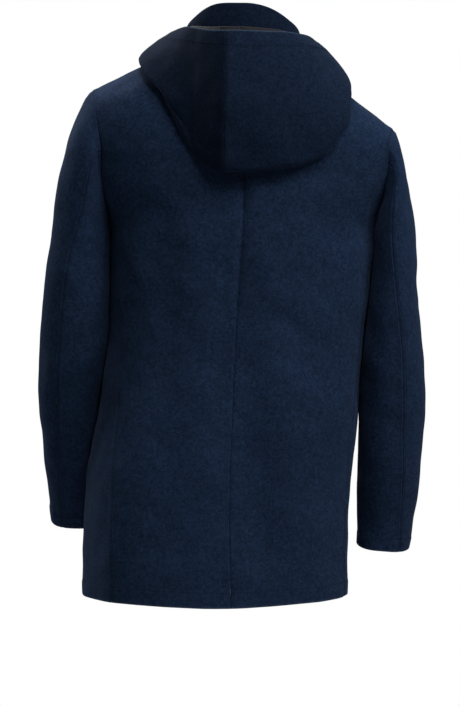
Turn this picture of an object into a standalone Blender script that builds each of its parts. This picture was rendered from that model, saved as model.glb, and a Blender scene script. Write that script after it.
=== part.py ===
"""Stadium coat: a hooded wool coat that is worn, its cloth standing hollow. Metres, +Z up, the front faces -Y."""

import math

import bpy
import numpy as np

# Driving dimensions, in metres and degrees.
CLOTH = 0.003          # thickness of the melton cloth
SEAM = 0.0003          # gap between two pieces at a seam
HEM_Z = -0.836         # hem below the shoulder-neck level
HEM_RISE = 0.009       # how much the hem rises at the sides
WALL_TOP = -0.17       # where the body's upright wall begins to round over to the shoulder
ARC = 0.16             # levels given to that rounding
UNDERARM = -0.262      # lowest level of the armholes
SQUARE = 2.5           # squareness of the body's sections, 2 is an ellipse
RIDGE_Y = -0.006       # the shoulder seams' place in depth
BACK_ROUND = 2.25      # squareness of the roll over the shoulders, back and front
FRONT_ROUND = 2.05
NECK_HALF = 0.083      # half width of the neckline
NECK_BACK = 0.084      # neckline's depth behind and before the shoulder seams
NECK_FRONT = 0.104
SHOULDER_LEFT = 0.226  # shoulder points, from the middle
SHOULDER_RIGHT = 0.222
SIDE_CLEAR = 0.0035    # least gap between a sleeve and the body's side
SIDE_SEAM_RIGHT = 9.0   # degrees by which the right side seam lies nearer the side than the left
OVERLAP = 0.020        # how far each front runs past the centre front
HOOD_CLEAR = 0.0042    # gap between the hood's under wall and the back
COLLAR_UP = 0.052      # collar's top above the origin at the centre back
BUTTON_R = 0.0125
BUTTON_T = 0.0042

NAVY = (0.010, 0.018, 0.040, 1.0)
CHARCOAL = (0.030, 0.030, 0.036, 1.0)
BUTTON_NAVY = (0.008, 0.010, 0.018, 1.0)

# The body's sections from the chest to the hem.
BODY_COLUMNS = ("z", "centre_x", "centre_y", "half_width", "back", "front", "twist")
BODY_ROWS = (
    (-0.170, -0.002, 0.000, 0.2500, 0.130, 0.128, 0.0),
    (-0.215, -0.001, 0.000, 0.2300, 0.130, 0.131, 0.0),
    (-0.265, 0.000, 0.000, 0.2020, 0.130, 0.133, 0.0),
    (-0.330, 0.002, 0.000, 0.1970, 0.130, 0.134, -1.0),
    (-0.390, 0.0065, 0.000, 0.1940, 0.129, 0.134, -1.0),
    (-0.450, 0.0125, 0.000, 0.1925, 0.129, 0.135, 0.5),
    (-0.510, 0.0190, 0.002, 0.1930, 0.130, 0.136, 2.0),
    (-0.560, 0.0235, 0.003, 0.1950, 0.132, 0.137, 3.5),
    (-0.610, 0.0310, 0.004, 0.1965, 0.134, 0.138, 5.5),
    (-0.660, 0.0370, 0.005, 0.1975, 0.136, 0.139, 7.4),
    (-0.750, 0.0415, 0.006, 0.1975, 0.139, 0.141, 9.0),
    (-0.810, 0.0425, 0.006, 0.1975, 0.140, 0.142, 10.0),
    (-0.860, 0.0425, 0.006, 0.1965, 0.140, 0.142, 10.0),
)
# Shoulder seam heights by x, the wearer's right shoulder lower.
RIDGE_COLUMNS = ("x", "z")
RIDGE_ROWS = (
    (-0.240, -0.150),
    (-0.222, -0.131),
    (-0.200, -0.114),
    (-0.163, -0.085),
    (-0.120, -0.053),
    (-0.083, -0.026),
    (0.000, 0.006),
    (0.083, -0.004),
    (0.150, -0.036),
    (0.200, -0.061),
    (0.226, -0.074),
    (0.245, -0.084),
)
# The edge of the back and front at the side: side seam below, armhole above.
EDGE_COLUMNS = ("level", "back_angle", "front_angle")
EDGE_ROWS = (
    (-0.860, 61.0, 61.0),
    (-0.660, 61.0, 61.0),
    (-0.560, 63.5, 63.5),
    (-0.460, 67.0, 67.0),
    (-0.380, 71.0, 71.0),
    (-0.300, 76.0, 76.0),
    (-0.262, 79.0, 79.0),
    (-0.2615, 79.0, 90.0),
    (-0.245, 76.0, 105.0),
    (-0.220, 72.0, 111.0),
    (-0.170, 68.0, 114.5),
    (-0.100, 67.8, 114.0),
    (-0.010, 67.5, 112.5),
)
# Soft folds raised from (plus) or sunk into (minus) the body, along a line from 0 to 1.
FOLD_COLUMNS = ("angle_0", "z_0", "angle_1", "z_1", "width", "height")
FOLD_ROWS = (
    (23.0, -0.380, 17.0, -0.640, 0.034, 0.0042),
    (50.0, -0.270, 44.0, -0.500, 0.045, -0.0055),
    (60.0, -0.540, 58.0, -0.800, 0.040, 0.0040),
    (-22.0, -0.460, -40.0, -0.700, 0.036, 0.0045),
    (-8.0, -0.500, -22.0, -0.760, 0.030, -0.0040),
    (-50.0, -0.300, -42.0, -0.470, 0.040, -0.0040),
    (-28.0, -0.250, -20.0, -0.380, 0.040, 0.0035),
    (150.0, -0.300, 158.0, -0.560, 0.038, -0.0045),
    (-148.0, -0.330, -160.0, -0.620, 0.038, -0.0045),
    (132.0, -0.500, 138.0, -0.780, 0.040, 0.0045),
    (-130.0, -0.480, -136.0, -0.790, 0.040, 0.0045),
)
# The sleeves' tubes from the upper arm to the cuff.
ARM_COLUMNS = ("x", "y", "z", "half_width", "half_depth")
ARM_LEFT = (
    (0.2425, 0.004, -0.295, 0.0440, 0.0730),
    (0.2475, 0.001, -0.360, 0.0485, 0.0705),
    (0.2520, -0.006, -0.420, 0.0510, 0.0675),
    (0.2560, -0.018, -0.480, 0.0510, 0.0640),
    (0.2580, -0.034, -0.540, 0.0495, 0.0605),
    (0.2575, -0.054, -0.600, 0.0470, 0.0570),
    (0.2555, -0.077, -0.658, 0.0440, 0.0530),
    (0.2535, -0.100, -0.717, 0.0415, 0.0490),
)
ARM_RIGHT = (
    (-0.2240, 0.004, -0.305, 0.0325, 0.0780),
    (-0.2235, 0.001, -0.360, 0.0355, 0.0750),
    (-0.2235, -0.003, -0.420, 0.0415, 0.0705),
    (-0.2245, -0.009, -0.480, 0.0475, 0.0660),
    (-0.2240, -0.017, -0.540, 0.0500, 0.0625),
    (-0.2225, -0.027, -0.600, 0.0485, 0.0595),
    (-0.2205, -0.038, -0.660, 0.0460, 0.0560),
    (-0.2160, -0.049, -0.715, 0.0420, 0.0525),
    (-0.2125, -0.056, -0.758, 0.0395, 0.0500),
)
# How each sleeve leaves its armhole, by angle round the arm: 0 outward, 90 back, 180 under, 270 front.
CAP_COLUMNS = ("angle", "fold", "start", "end")
CAP_LEFT = (
    (0.0, -26.0, 0.16, 0.20),
    (45.0, 0.0, 0.15, 0.18),
    (90.0, 62.0, 0.09, 0.14),
    (135.0, 130.0, 0.035, 0.06),
    (180.0, 172.0, 0.012, 0.015),
    (225.0, 130.0, 0.035, 0.06),
    (270.0, 55.0, 0.10, 0.14),
    (315.0, 0.0, 0.15, 0.18),
    (360.0, -26.0, 0.16, 0.20),
)
CAP_RIGHT = (
    (0.0, -32.0, 0.075, 0.15),
    (45.0, -8.0, 0.080, 0.15),
    (90.0, 40.0, 0.070, 0.13),
    (135.0, 122.0, 0.035, 0.06),
    (180.0, 172.0, 0.012, 0.015),
    (225.0, 128.0, 0.035, 0.06),
    (270.0, 46.0, 0.080, 0.13),
    (315.0, -8.0, 0.080, 0.15),
    (360.0, -32.0, 0.075, 0.15),
)
# Where the two sleeve seams run: share 0 is the armhole, 1 the cuff.
SEAM_COLUMNS = ("share", "hind", "fore")
SEAM_LEFT = (
    (0.00, 101.0, 246.0),
    (0.12, 97.0, 244.0),
    (0.20, 91.0, 243.0),
    (0.26, 84.0, 242.0),
    (0.36, 77.0, 240.0),
    (0.50, 73.0, 238.0),
    (0.70, 71.5, 237.0),
    (0.85, 67.0, 236.0),
    (1.00, 64.0, 235.0),
)
SEAM_RIGHT = (
    (0.00, 102.0, 246.0),
    (0.12, 99.0, 244.0),
    (0.26, 94.0, 242.0),
    (0.38, 88.0, 240.0),
    (0.50, 81.0, 238.0),
    (0.65, 77.0, 237.0),
    (0.80, 72.0, 236.0),
    (1.00, 61.0, 235.0),
)
# The hood by meridian: its place on the neckline, its lowest line on the body, its mouth edge.
# low_side is 1 on the back and -1 on the front; a low_z above the shoulder seam means on the seam.
HOOD_COLUMNS = (
    "s", "neck_angle", "low_x", "low_z", "low_side",
    "mouth_x", "mouth_y", "mouth_z", "sag", "rise", "tuck",
)
HOOD_ROWS = (
    (-1.00, -160.0, -0.036, -0.088, -1, -0.033, -0.131, -0.075, 0.004, 0.006, 0.3),
    (-0.84, -130.0, -0.098, -0.094, -1, -0.088, -0.107, -0.064, 0.030, 0.040, 1.0),
    (-0.70, -104.0, -0.132, -0.098, -1, -0.109, -0.054, -0.030, 0.050, 0.070, 1.6),
    (-0.58, -82.0, -0.143, 0.050, 1, -0.110, 0.004, -0.010, 0.060, 0.090, 1.8),
    (-0.46, -62.0, -0.147, -0.116, 1, -0.100, 0.060, -0.002, 0.085, 0.110, 1.4),
    (-0.34, -44.0, -0.133, -0.150, 1, -0.082, 0.102, 0.001, 0.120, 0.130, 0.9),
    (-0.23, -28.0, -0.104, -0.180, 1, -0.054, 0.130, 0.000, 0.160, 0.160, 0.55),
    (-0.11, -12.0, -0.050, -0.196, 1, -0.017, 0.146, -0.001, 0.180, 0.175, 0.35),
    (0.00, 8.0, 0.0245, -0.199, 1, 0.0225, 0.149, -0.001, 0.180, 0.175, 0.30),
    (0.11, 22.0, 0.056, -0.184, 1, 0.045, 0.142, 0.001, 0.170, 0.165, 0.40),
    (0.23, 37.0, 0.088, -0.148, 1, 0.068, 0.118, 0.007, 0.145, 0.140, 0.60),
    (0.34, 50.0, 0.117, -0.104, 1, 0.086, 0.082, 0.013, 0.110, 0.115, 0.9),
    (0.46, 66.0, 0.138, -0.066, 1, 0.100, 0.038, 0.015, 0.075, 0.090, 1.4),
    (0.58, 84.0, 0.141, 0.050, 1, 0.108, -0.010, 0.009, 0.060, 0.080, 1.8),
    (0.70, 104.0, 0.128, -0.058, -1, 0.107, -0.054, -0.012, 0.045, 0.065, 1.6),
    (0.84, 130.0, 0.096, -0.082, -1, 0.086, -0.107, -0.053, 0.030, 0.040, 1.0),
    (1.00, 160.0, 0.036, -0.088, -1, 0.033, -0.131, -0.075, 0.004, 0.006, 0.3),
)
HOOD_NECK = 0.0075   # how far outside the neckline the hood's seam runs
# The collar's top edge round the neck, 0 at the centre back.
COLLAR_COLUMNS = ("angle", "top_z", "lean")
COLLAR_ROWS = (
    (-180.0, -0.054, 0.004),
    (-150.0, -0.044, 0.003),
    (-115.0, -0.014, 0.002),
    (-85.0, 0.012, 0.000),
    (-60.0, 0.028, -0.004),
    (-35.0, 0.041, -0.008),
    (0.0, 0.0485, -0.010),
    (38.0, 0.047, -0.008),
    (60.0, 0.034, -0.004),
    (85.0, 0.020, 0.000),
    (115.0, -0.004, 0.002),
    (150.0, -0.038, 0.003),
    (180.0, -0.054, 0.004),
)
BUTTON_COLUMNS = ("name", "z")
BUTTON_ROWS = (
    ("button_1", -0.125),
    ("button_2", -0.240),
    ("button_3", -0.355),
    ("button_4", -0.470),
    ("button_5", -0.585),
)


def column(columns, rows, name):
    place = columns.index(name)
    return np.array([row[place] for row in rows], float)


def smooth_table(at, known, value):
    """Cubic Hermite through a table's rows, with finite-difference slopes."""
    at = np.asarray(at, float)
    order = np.argsort(known)
    known, value = known[order], value[order]
    step = np.diff(known)
    rise = np.diff(value) / step
    slope = np.empty_like(value)
    slope[1:-1] = (rise[:-1] * step[1:] + rise[1:] * step[:-1]) / (step[1:] + step[:-1])
    slope[0], slope[-1] = rise[0], rise[-1]
    turned = rise[:-1] * rise[1:] <= 0
    slope[1:-1][turned] = 0.0
    k = np.clip(np.searchsorted(known, at) - 1, 0, len(step) - 1)
    h = step[k]
    t = np.clip((at - known[k]) / h, 0.0, 1.0)
    return (
        value[k] * (1 + 2 * t) * (1 - t) ** 2
        + slope[k] * h * t * (1 - t) ** 2
        + value[k + 1] * t * t * (3 - 2 * t)
        + slope[k + 1] * h * t * t * (t - 1)
    )


def look(columns, rows, key, name, at):
    return smooth_table(at, column(columns, rows, key), column(columns, rows, name))


def linear(columns, rows, key, name, at):
    known = column(columns, rows, key)
    order = np.argsort(known)
    return np.interp(at, known[order], column(columns, rows, name)[order])


def ease(t):
    t = np.clip(t, 0.0, 1.0)
    return t * t * (3 - 2 * t)


def signed_power(value, power):
    return np.sign(value) * np.abs(value) ** power


def folds(phi, z):
    """Height of the soft folds at an angle round the body (radians) and a height."""
    total = np.zeros(np.broadcast(phi, z).shape)
    for row in FOLD_ROWS:
        fold = dict(zip(FOLD_COLUMNS, row))
        arm = 0.155
        turn = math.radians(fold["angle_0"])
        around = (phi - turn + math.pi) % (2 * math.pi) - math.pi
        ax, az = 0.0, fold["z_0"]
        bx, bz = (math.radians(fold["angle_1"]) - turn) * arm, fold["z_1"]
        length = math.hypot(bx - ax, bz - az)
        px, pz = around * arm, z - az
        along = np.clip((px * (bx - ax) + pz * (bz - az)) / length ** 2, 0.0, 1.0)
        away = np.hypot(px - along * (bx - ax), pz - along * (bz - az))
        total += fold["height"] * np.exp(-((away / fold["width"]) ** 2))
    return total


def section(phi, z):
    """The body's wall at a height: polar angle phi from the centre back, + towards the wearer's left."""
    read = lambda name: look(BODY_COLUMNS, BODY_ROWS, "z", name, z)
    sine, cosine = np.sin(phi), np.cos(phi)
    depth = np.where(cosine > 0, read("back"), read("front"))
    share = np.abs(sine / read("half_width")) ** SQUARE + np.abs(cosine / depth) ** SQUARE
    radius = share ** (-1 / SQUARE) + folds(phi, z)
    turn = np.radians(read("twist"))
    x, y = radius * sine, radius * cosine
    return (
        read("centre_x") + x * np.cos(turn) - y * np.sin(turn),
        read("centre_y") + x * np.sin(turn) + y * np.cos(turn),
    )


def torso(phi, level):
    """A point of the body's outer face. Above WALL_TOP the levels run over to the shoulder seam."""
    phi, level = np.broadcast_arrays(np.asarray(phi, float), np.asarray(level, float))
    phi = (phi + math.pi) % (2 * math.pi) - math.pi
    x, y = section(phi, np.minimum(level, WALL_TOP))
    roll = np.maximum(level - WALL_TOP, 0.0) / ARC * math.pi / 2
    sine, cosine = np.sin(roll), np.cos(roll)
    reach = np.where(x > 0, SHOULDER_LEFT - 0.208, SHOULDER_RIGHT - 0.210)
    spread = reach * np.sign(x) * ease((np.abs(x) - NECK_HALF) / 0.125) * sine
    x = x + spread
    power = np.where(y > RIDGE_Y, 2 / BACK_ROUND, 2 / FRONT_ROUND)
    top = look(RIDGE_COLUMNS, RIDGE_ROWS, "x", "z", x)
    rolled_y = RIDGE_Y + (y - RIDGE_Y) * signed_power(cosine, power)
    rolled_z = WALL_TOP + (top - WALL_TOP) * signed_power(sine, power)
    above = level > WALL_TOP
    return np.stack(
        [x, np.where(above, rolled_y, y), np.where(above, rolled_z, level)], axis=-1
    )


def unit(v):
    return v / np.maximum(np.linalg.norm(v, axis=-1, keepdims=True), 1e-12)


def torso_normal(phi, level):
    step = 2e-3
    across = torso(phi + step, level) - torso(phi - step, level)
    up = torso(phi, level + step) - torso(phi, level - step)
    return unit(np.cross(up, across))


def neck_level(phi):
    """The level at which the meridian phi ends: at the neckline, or at the shoulder seam outside it."""
    x, y = section(phi, WALL_TOP)
    inside = np.clip(1 - (x / NECK_HALF) ** 2, 0.0, 1.0)
    behind = y > RIDGE_Y
    reach = np.where(behind, NECK_BACK, -NECK_FRONT) * np.sqrt(inside)
    share = np.clip(reach / (y - RIDGE_Y), 0.0, 1.0)
    power = np.where(behind, BACK_ROUND, FRONT_ROUND) / 2
    return WALL_TOP + ARC * np.arccos(np.clip(share ** power, 0.0, 1.0)) / (math.pi / 2)


def hem_level(phi):
    return HEM_Z + HEM_RISE * np.sin(phi) ** 2


def edge_angle(level, name, side=1):
    shift = 0.0 if side > 0 else SIDE_SEAM_RIGHT * ease((UNDERARM - level) / 0.25)
    return np.radians(linear(EDGE_COLUMNS, EDGE_ROWS, "level", name, level) + shift)


def clear_scene():
    for obj in list(bpy.data.objects):
        bpy.data.objects.remove(obj, do_unlink=True)


def coat_collection():
    made = bpy.data.collections.new("stadium_coat")
    bpy.context.scene.collection.children.link(made)
    return made


def paint(name, colour, roughness):
    found = bpy.data.materials.get(name) or bpy.data.materials.new(name)
    found.use_nodes = True
    shader = found.node_tree.nodes["Principled BSDF"]
    shader.inputs["Base Color"].default_value = colour
    shader.inputs["Roughness"].default_value = roughness
    found.diffuse_color = colour
    return found


def add_mesh(name, points, faces, colour, roughness=0.9):
    mesh = bpy.data.meshes.new(name)
    mesh.from_pydata([tuple(p) for p in points], [], faces)
    mesh.materials.append(paint("paint_" + name, colour, roughness))
    mesh.update()
    obj = bpy.data.objects.new(name, mesh)
    COAT.objects.link(obj)
    return obj


def add_wall(name, outer, inner, colour=NAVY):
    """A closed cloth wall from two grids of points, outer[i][j] and inner[i][j]."""
    rows, columns = outer.shape[:2]
    points = np.concatenate([outer.reshape(-1, 3), inner.reshape(-1, 3)])
    index = np.arange(rows * columns).reshape(rows, columns)
    lower = index + rows * columns
    faces = []
    for i in range(rows - 1):
        for j in range(columns - 1):
            a, b, c, d = index[i, j], index[i, j + 1], index[i + 1, j + 1], index[i + 1, j]
            faces.append((a, b, c, d))
            faces.append(tuple(v + rows * columns for v in (d, c, b, a)))
    rim = list(index[0, :]) + list(index[1:, -1])
    rim += list(index[-1, -2::-1]) + list(index[-2:0:-1, 0])
    for k, a in enumerate(rim):
        b = rim[(k + 1) % len(rim)]
        faces.append((b, a, a + rows * columns, b + rows * columns))
    faces = [tuple(int(v) for v in face) for face in faces]
    volume = 0.0
    for face in faces:
        for k in range(1, len(face) - 1):
            a, b, c = (points[face[m]] for m in (0, k, k + 1))
            volume += float(np.dot(a, np.cross(b, c)))
    if volume < 0:
        faces = [face[::-1] for face in faces]
    return add_mesh(name, points, faces, colour)


def inset(columns_at, edge_gap):
    """Moves the first and last column of a row of arc shares in by the seam gap."""
    return columns_at


def body_grid(side, part, rows, inner_columns, outer_columns):
    """(phi, level) grid of a back or front panel. side is +1 on the wearer's left."""
    start = 0.0 if part == "back" else math.pi
    neck_turn = math.radians(34.0) if part == "back" else math.pi - math.radians(35.0)
    name = part + "_angle"
    lower = np.linspace(0.0, 1.0, rows[0], endpoint=False)
    arm = np.linspace(0.0, 1.0, rows[1], endpoint=False)
    roll = np.linspace(0.0, 1.0, rows[2])
    phis, levels = [], []
    first = np.linspace(0.0, 1.0, inner_columns, endpoint=False)
    second = np.linspace(0.0, 1.0, outer_columns)
    if part == "front":
        arm = arm ** 1.5
    for band, shares in (("lower", lower), ("arm", arm), ("roll", roll)):
        for share in shares:
            guess = {
                "lower": UNDERARM - 0.571 * (1 - share),
                "arm": UNDERARM + (WALL_TOP - UNDERARM) * share,
                "roll": WALL_TOP + ARC * share * 0.999,
            }[band]
            edge = float(edge_angle(guess, name, side))
            phi = np.concatenate([
                start + (neck_turn - start) * first,
                neck_turn + (edge - neck_turn) * second,
            ])
            if band == "lower":
                bottom = hem_level(phi)
                level = bottom + (UNDERARM - bottom) * share
            elif band == "arm":
                level = np.full_like(phi, guess)
            else:
                level = WALL_TOP + (neck_level(phi) - WALL_TOP) * share
            phis.append(phi)
            levels.append(level)
    return np.array(phis) * side, np.array(levels)


COAT = None


def seam_trim(points, normals, gaps):
    """Pulls the four edges of a grid in, by half a seam each, along the grid itself."""
    made = points.copy()
    first, last, bottom, top = gaps
    made[:, 0] += unit(points[:, 1] - points[:, 0]) * first
    made[:, -1] += unit(points[:, -2] - points[:, -1]) * last
    made[0] += unit(points[1] - points[0]) * bottom
    made[-1] += unit(points[-2] - points[-1]) * top
    return made


def build_body():
    """Backs and fronts. Column 0 lies on the centre line, the last column at the side."""
    for side, word in ((1, "left"), (-1, "right")):
        phi, level = body_grid(side, "back", (11, 4, 7), 4, 6)
        points, normals = torso(phi, level), torso_normal(phi, level)
        outer = seam_trim(points, normals, (SEAM / 2, SEAM, 0.0, SEAM / 2))
        add_wall("back_" + word, outer, outer - CLOTH * normals)
        phi, level = front_grid(side)
        points, normals = torso(phi, level), torso_normal(phi, level)
        if side < 0:
            points = points - normals * under_step(phi)[..., None]
        outer = seam_trim(points, normals, (0.0, SEAM, 0.0, SEAM / 2))
        add_wall("front_" + word, outer, outer - CLOTH * normals)


FRONT_STEPS = (-OVERLAP, 0.0, 0.026, 0.048)


def front_grid(side):
    """The front runs OVERLAP past the centre front. Its first columns lie at FRONT_STEPS from there."""
    phi, level = body_grid(side, "front", (11, 5, 6), 1, 8)
    phi = phi * side
    base = phi[:, 1:2]
    radius = 0.137
    near = np.concatenate(
        [math.pi - np.array([[step]]) / radius + 0 * base for step in FRONT_STEPS], axis=1
    )
    made = np.concatenate([near, phi[:, 1:]], axis=1)
    top = neck_level(near)
    low = hem_level(near)
    share = (level[:, 1:2] - level[0, 1]) / (UNDERARM - level[0, 1])
    roll = (level[:, 1:2] - WALL_TOP) / (level[-1, 1] - WALL_TOP)
    lines = np.where(
        level[:, 1:2] < UNDERARM,
        low + (UNDERARM - low) * share,
        np.where(level[:, 1:2] > WALL_TOP, WALL_TOP + (top - WALL_TOP) * roll, level[:, 1:2]),
    )
    return made * side, np.concatenate([lines, level[:, 1:]], axis=1)


def under_step(phi):
    """How far the right front sinks under the left one."""
    past = np.abs(phi) - math.pi
    return (CLOTH + 0.0015) * ease((past * 0.137 + 0.048) / 0.022)


def armhole(side, theta):
    """(phi, level) on the armhole at an angle round the arm, in degrees, with 180 under the arm."""
    levels = np.linspace(UNDERARM + 0.0004, WALL_TOP + ARC, 60)
    back = np.stack([edge_angle(levels, "back_angle"), levels], axis=-1)[::-1]
    levels = np.concatenate([np.linspace(UNDERARM, -0.2616, 8), levels[1:]])
    front = np.stack([edge_angle(levels, "front_angle"), levels], axis=-1)
    path = np.concatenate([back, front])
    place = torso(path[:, 0] * side, path[:, 1])
    run = np.concatenate([[0.0], np.cumsum(np.linalg.norm(np.diff(place, axis=0), axis=1))])
    bottom = run[59 + 5]
    share = np.where(theta <= 180.0, theta / 180.0 * bottom, bottom + (theta - 180.0) / 180.0 * (run[-1] - bottom))
    return np.interp(share, run, path[:, 0]) * side, np.interp(share, run, path[:, 1])


def arm_path(table, share):
    """Centre, half width and half depth of the sleeve's tube, share 0 at the upper arm, 1 at the cuff."""
    keys = np.linspace(0.0, 1.0, len(table))
    read = lambda name: smooth_table(share, keys, column(ARM_COLUMNS, table, name))
    centre = np.stack([read("x"), read("y"), read("z")], axis=-1)
    return centre, read("half_width"), read("half_depth")


def arm_ring(table, share, theta, side):
    """A point of the sleeve's tube, its rings square to the arm."""
    centre, wide, deep = arm_path(table, share)
    ahead = arm_path(table, np.minimum(share + 0.02, 1.0))[0]
    behind = arm_path(table, np.maximum(share - 0.02, 0.0))[0]
    down = unit(ahead - behind)
    back = unit(np.cross(down, np.array([-1.0, 0.0, 0.0]) + 0 * down))
    out = np.cross(down, back)
    turn = np.radians(theta)
    power = 2.3
    radius = (np.abs(np.cos(turn) / wide) ** power + np.abs(np.sin(turn) / deep) ** power) ** (-1 / power)
    ring = centre + out * side * (radius * np.cos(turn))[..., None] + back * (radius * np.sin(turn))[..., None]
    return ring, down


def keep_off_body(points):
    """Moves points of a sleeve out until SIDE_CLEAR from the body's side."""
    z = np.minimum(points[..., 2], WALL_TOP)
    cx = look(BODY_COLUMNS, BODY_ROWS, "z", "centre_x", z)
    cy = look(BODY_COLUMNS, BODY_ROWS, "z", "centre_y", z)
    turn = np.radians(look(BODY_COLUMNS, BODY_ROWS, "z", "twist", z))
    dx, dy = points[..., 0] - cx, points[..., 1] - cy
    x = dx * np.cos(turn) + dy * np.sin(turn)
    y = -dx * np.sin(turn) + dy * np.cos(turn)
    phi = np.arctan2(x, y)
    wall = torso(phi, z)
    away = np.hypot(dx, dy)
    near = np.hypot(wall[..., 0] - cx, wall[..., 1] - cy) + SIDE_CLEAR
    short = np.where(points[..., 2] < UNDERARM - 0.004, np.maximum(near - away, 0.0), 0.0)
    moved = points.copy()
    moved[..., 0] += dx / away * short
    moved[..., 1] += dy / away * short
    return moved


CAP_SHARE = 0.26  # share of the sleeve's rows that lies between armhole and upper arm


def sleeve(side, share, theta):
    """The sleeve's outer face: share 0 at the armhole, 1 at the cuff; theta in degrees round the arm."""
    share, theta = np.broadcast_arrays(np.asarray(share, float), np.asarray(theta, float))
    table = ARM_LEFT if side > 0 else ARM_RIGHT
    caps = CAP_LEFT if side > 0 else CAP_RIGHT
    theta = theta % 360.0
    tube, _ = arm_ring(table, np.clip((share - CAP_SHARE) / (1 - CAP_SHARE), 0.0, 1.0), theta, side)
    upper, down = arm_ring(table, np.zeros_like(share), theta, side)
    phi, level = armhole(side, theta)
    edge, normal = torso(phi, level), torso_normal(phi, level)
    phi_next, level_next = armhole(side, np.minimum(theta + 1.0, 359.99))
    phi_last, level_last = armhole(side, np.maximum(theta - 1.0, 0.0))
    along = unit(torso(phi_next, level_next) - torso(phi_last, level_last))
    leave = unit(np.cross(along, normal)) * side
    read = lambda name: look(CAP_COLUMNS, caps, "angle", name, theta)[..., None]
    fold = np.radians(read("fold"))
    heading = leave * np.cos(fold) + normal * np.sin(fold)
    start = edge + SEAM * 3 * (leave * np.cos(fold / 2) + normal * np.sin(fold / 2))
    t = np.clip(share / CAP_SHARE, 0.0, 1.0)[..., None]
    cap = (
        start * (1 + 2 * t) * (1 - t) ** 2
        + heading * read("start") * t * (1 - t) ** 2
        + upper * t * t * (3 - 2 * t)
        + down * read("end") * t * t * (t - 1)
    )
    return np.where((share < CAP_SHARE)[..., None], cap, tube)


def sleeve_normal(side, share, theta):
    low, high = np.maximum(share - 2e-3, 0.0), np.minimum(share + 2e-3, 1.0)
    along = sleeve(side, high, theta) - sleeve(side, low, theta)
    across = sleeve(side, share, theta + 0.5) - sleeve(side, share, theta - 0.5)
    return unit(np.cross(across, along)) * -side


def build_sleeves():
    for side, word, seams in ((1, "left", SEAM_LEFT), (-1, "right", SEAM_RIGHT)):
        shares = np.concatenate([
            np.linspace(0.0, CAP_SHARE, 7, endpoint=False),
            np.linspace(CAP_SHARE, 1.0, 14),
        ])
        hind = look(SEAM_COLUMNS, seams, "share", "hind", shares)[:, None]
        fore = look(SEAM_COLUMNS, seams, "share", "fore", shares)[:, None]
        for part, low, high, count in (
            ("upper", fore - 360.0, hind, 14),
            ("under", hind, fore, 11),
        ):
            across = np.linspace(0.0, 1.0, count)[None, :]
            theta = low + (high - low) * across
            share = np.broadcast_to(shares[:, None], theta.shape)
            points, normals = sleeve(side, share, theta), sleeve_normal(side, share, theta)
            phi, level = armhole(side, theta[0] % 360.0)
            body = torso_normal(phi, np.minimum(level, WALL_TOP + ARC * 0.985))
            caps = CAP_LEFT if side > 0 else CAP_RIGHT
            fold = look(CAP_COLUMNS, caps, "angle", "fold", theta[0] % 360.0)
            mitre = ease(1.0 - fold / 25.0)[:, None]
            normals[0] = unit(normals[0] * (1 - mitre) + body * mitre)
            outer = seam_trim(points, normals, (SEAM * 1.4, SEAM * 1.4, SEAM, 0.0))
            inner = outer - CLOTH * normals
            outer, inner = part_walls(outer, inner)
            add_wall("sleeve_" + word + "_" + part, outer, inner)


def part_walls(outer, inner):
    moved = keep_off_body(outer)
    return moved, inner + (moved - outer)


def neck_point(alpha, down=0.0, out=0.0):
    """A point on the neckline at a plan angle in degrees, moved down the body and out from it."""
    alpha = np.radians(np.asarray(alpha, float))
    depth = np.where(np.cos(alpha) > 0, NECK_BACK, NECK_FRONT)
    x = NECK_HALF * np.sin(alpha)
    y = RIDGE_Y + depth * np.cos(alpha)
    phi = neck_phi(x, y)
    level = neck_level(phi) - down
    return torso(phi, level) + out * torso_normal(phi, level), phi, level


def neck_phi(x, y):
    """The meridian whose foot has this x."""
    turn = np.radians(np.linspace(0.0, 180.0, 721))
    made = np.zeros(np.broadcast(x, y).shape)
    for sign in (1, -1):
        for behind in (True, False):
            part = turn[:361] if behind else turn[360:][::-1]
            foot = section(part * sign, np.full_like(part, WALL_TOP))[0] * sign
            take = (np.sign(x) == sign) & ((y > RIDGE_Y) == behind)
            take |= (x == 0) & (sign > 0) & ((y > RIDGE_Y) == behind)
            found = np.interp(np.abs(x), foot, part) * sign
            made = np.where(take, found, made)
    return made


def collar_face(alpha, up):
    """The collar's outer face, up 0 at the neckline and 1 at its top edge."""
    alpha, up = np.broadcast_arrays(np.asarray(alpha, float), np.asarray(up, float))
    low, _, _ = neck_point(alpha, 0.0, 0.0)
    turn = np.radians(alpha)
    top = look(COLLAR_COLUMNS, COLLAR_ROWS, "angle", "top_z", alpha)
    lean = look(COLLAR_COLUMNS, COLLAR_ROWS, "angle", "lean", alpha)
    out = np.stack([np.sin(turn), np.cos(turn), 0 * turn], axis=-1)
    high = low + out * lean[..., None]
    high[..., 2] = top
    t = up[..., None]
    bulge = 0.003 * 4 * t * (1 - t)
    return low + (high - low) * t + out * bulge


def face_normal(face, a, b, step_a, step_b, sign):
    across = face(a + step_a, b) - face(a - step_a, b)
    along = face(a, b + step_b) - face(a, b - step_b)
    return unit(np.cross(across, along)) * sign


def build_collar():
    alpha = np.linspace(-178.6, 178.6, 41)[None, :]
    up = np.linspace(0.0, 1.0, 4)[:, None]
    start = 0.0010 / 0.06
    a, u = np.broadcast_arrays(alpha, start * 2 + (1 - start * 2) * up)
    points = collar_face(a, u)
    normals = face_normal(collar_face, a, u, 0.5, 0.01, 1.0)
    add_wall("collar", points, points - CLOTH * normals)


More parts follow.
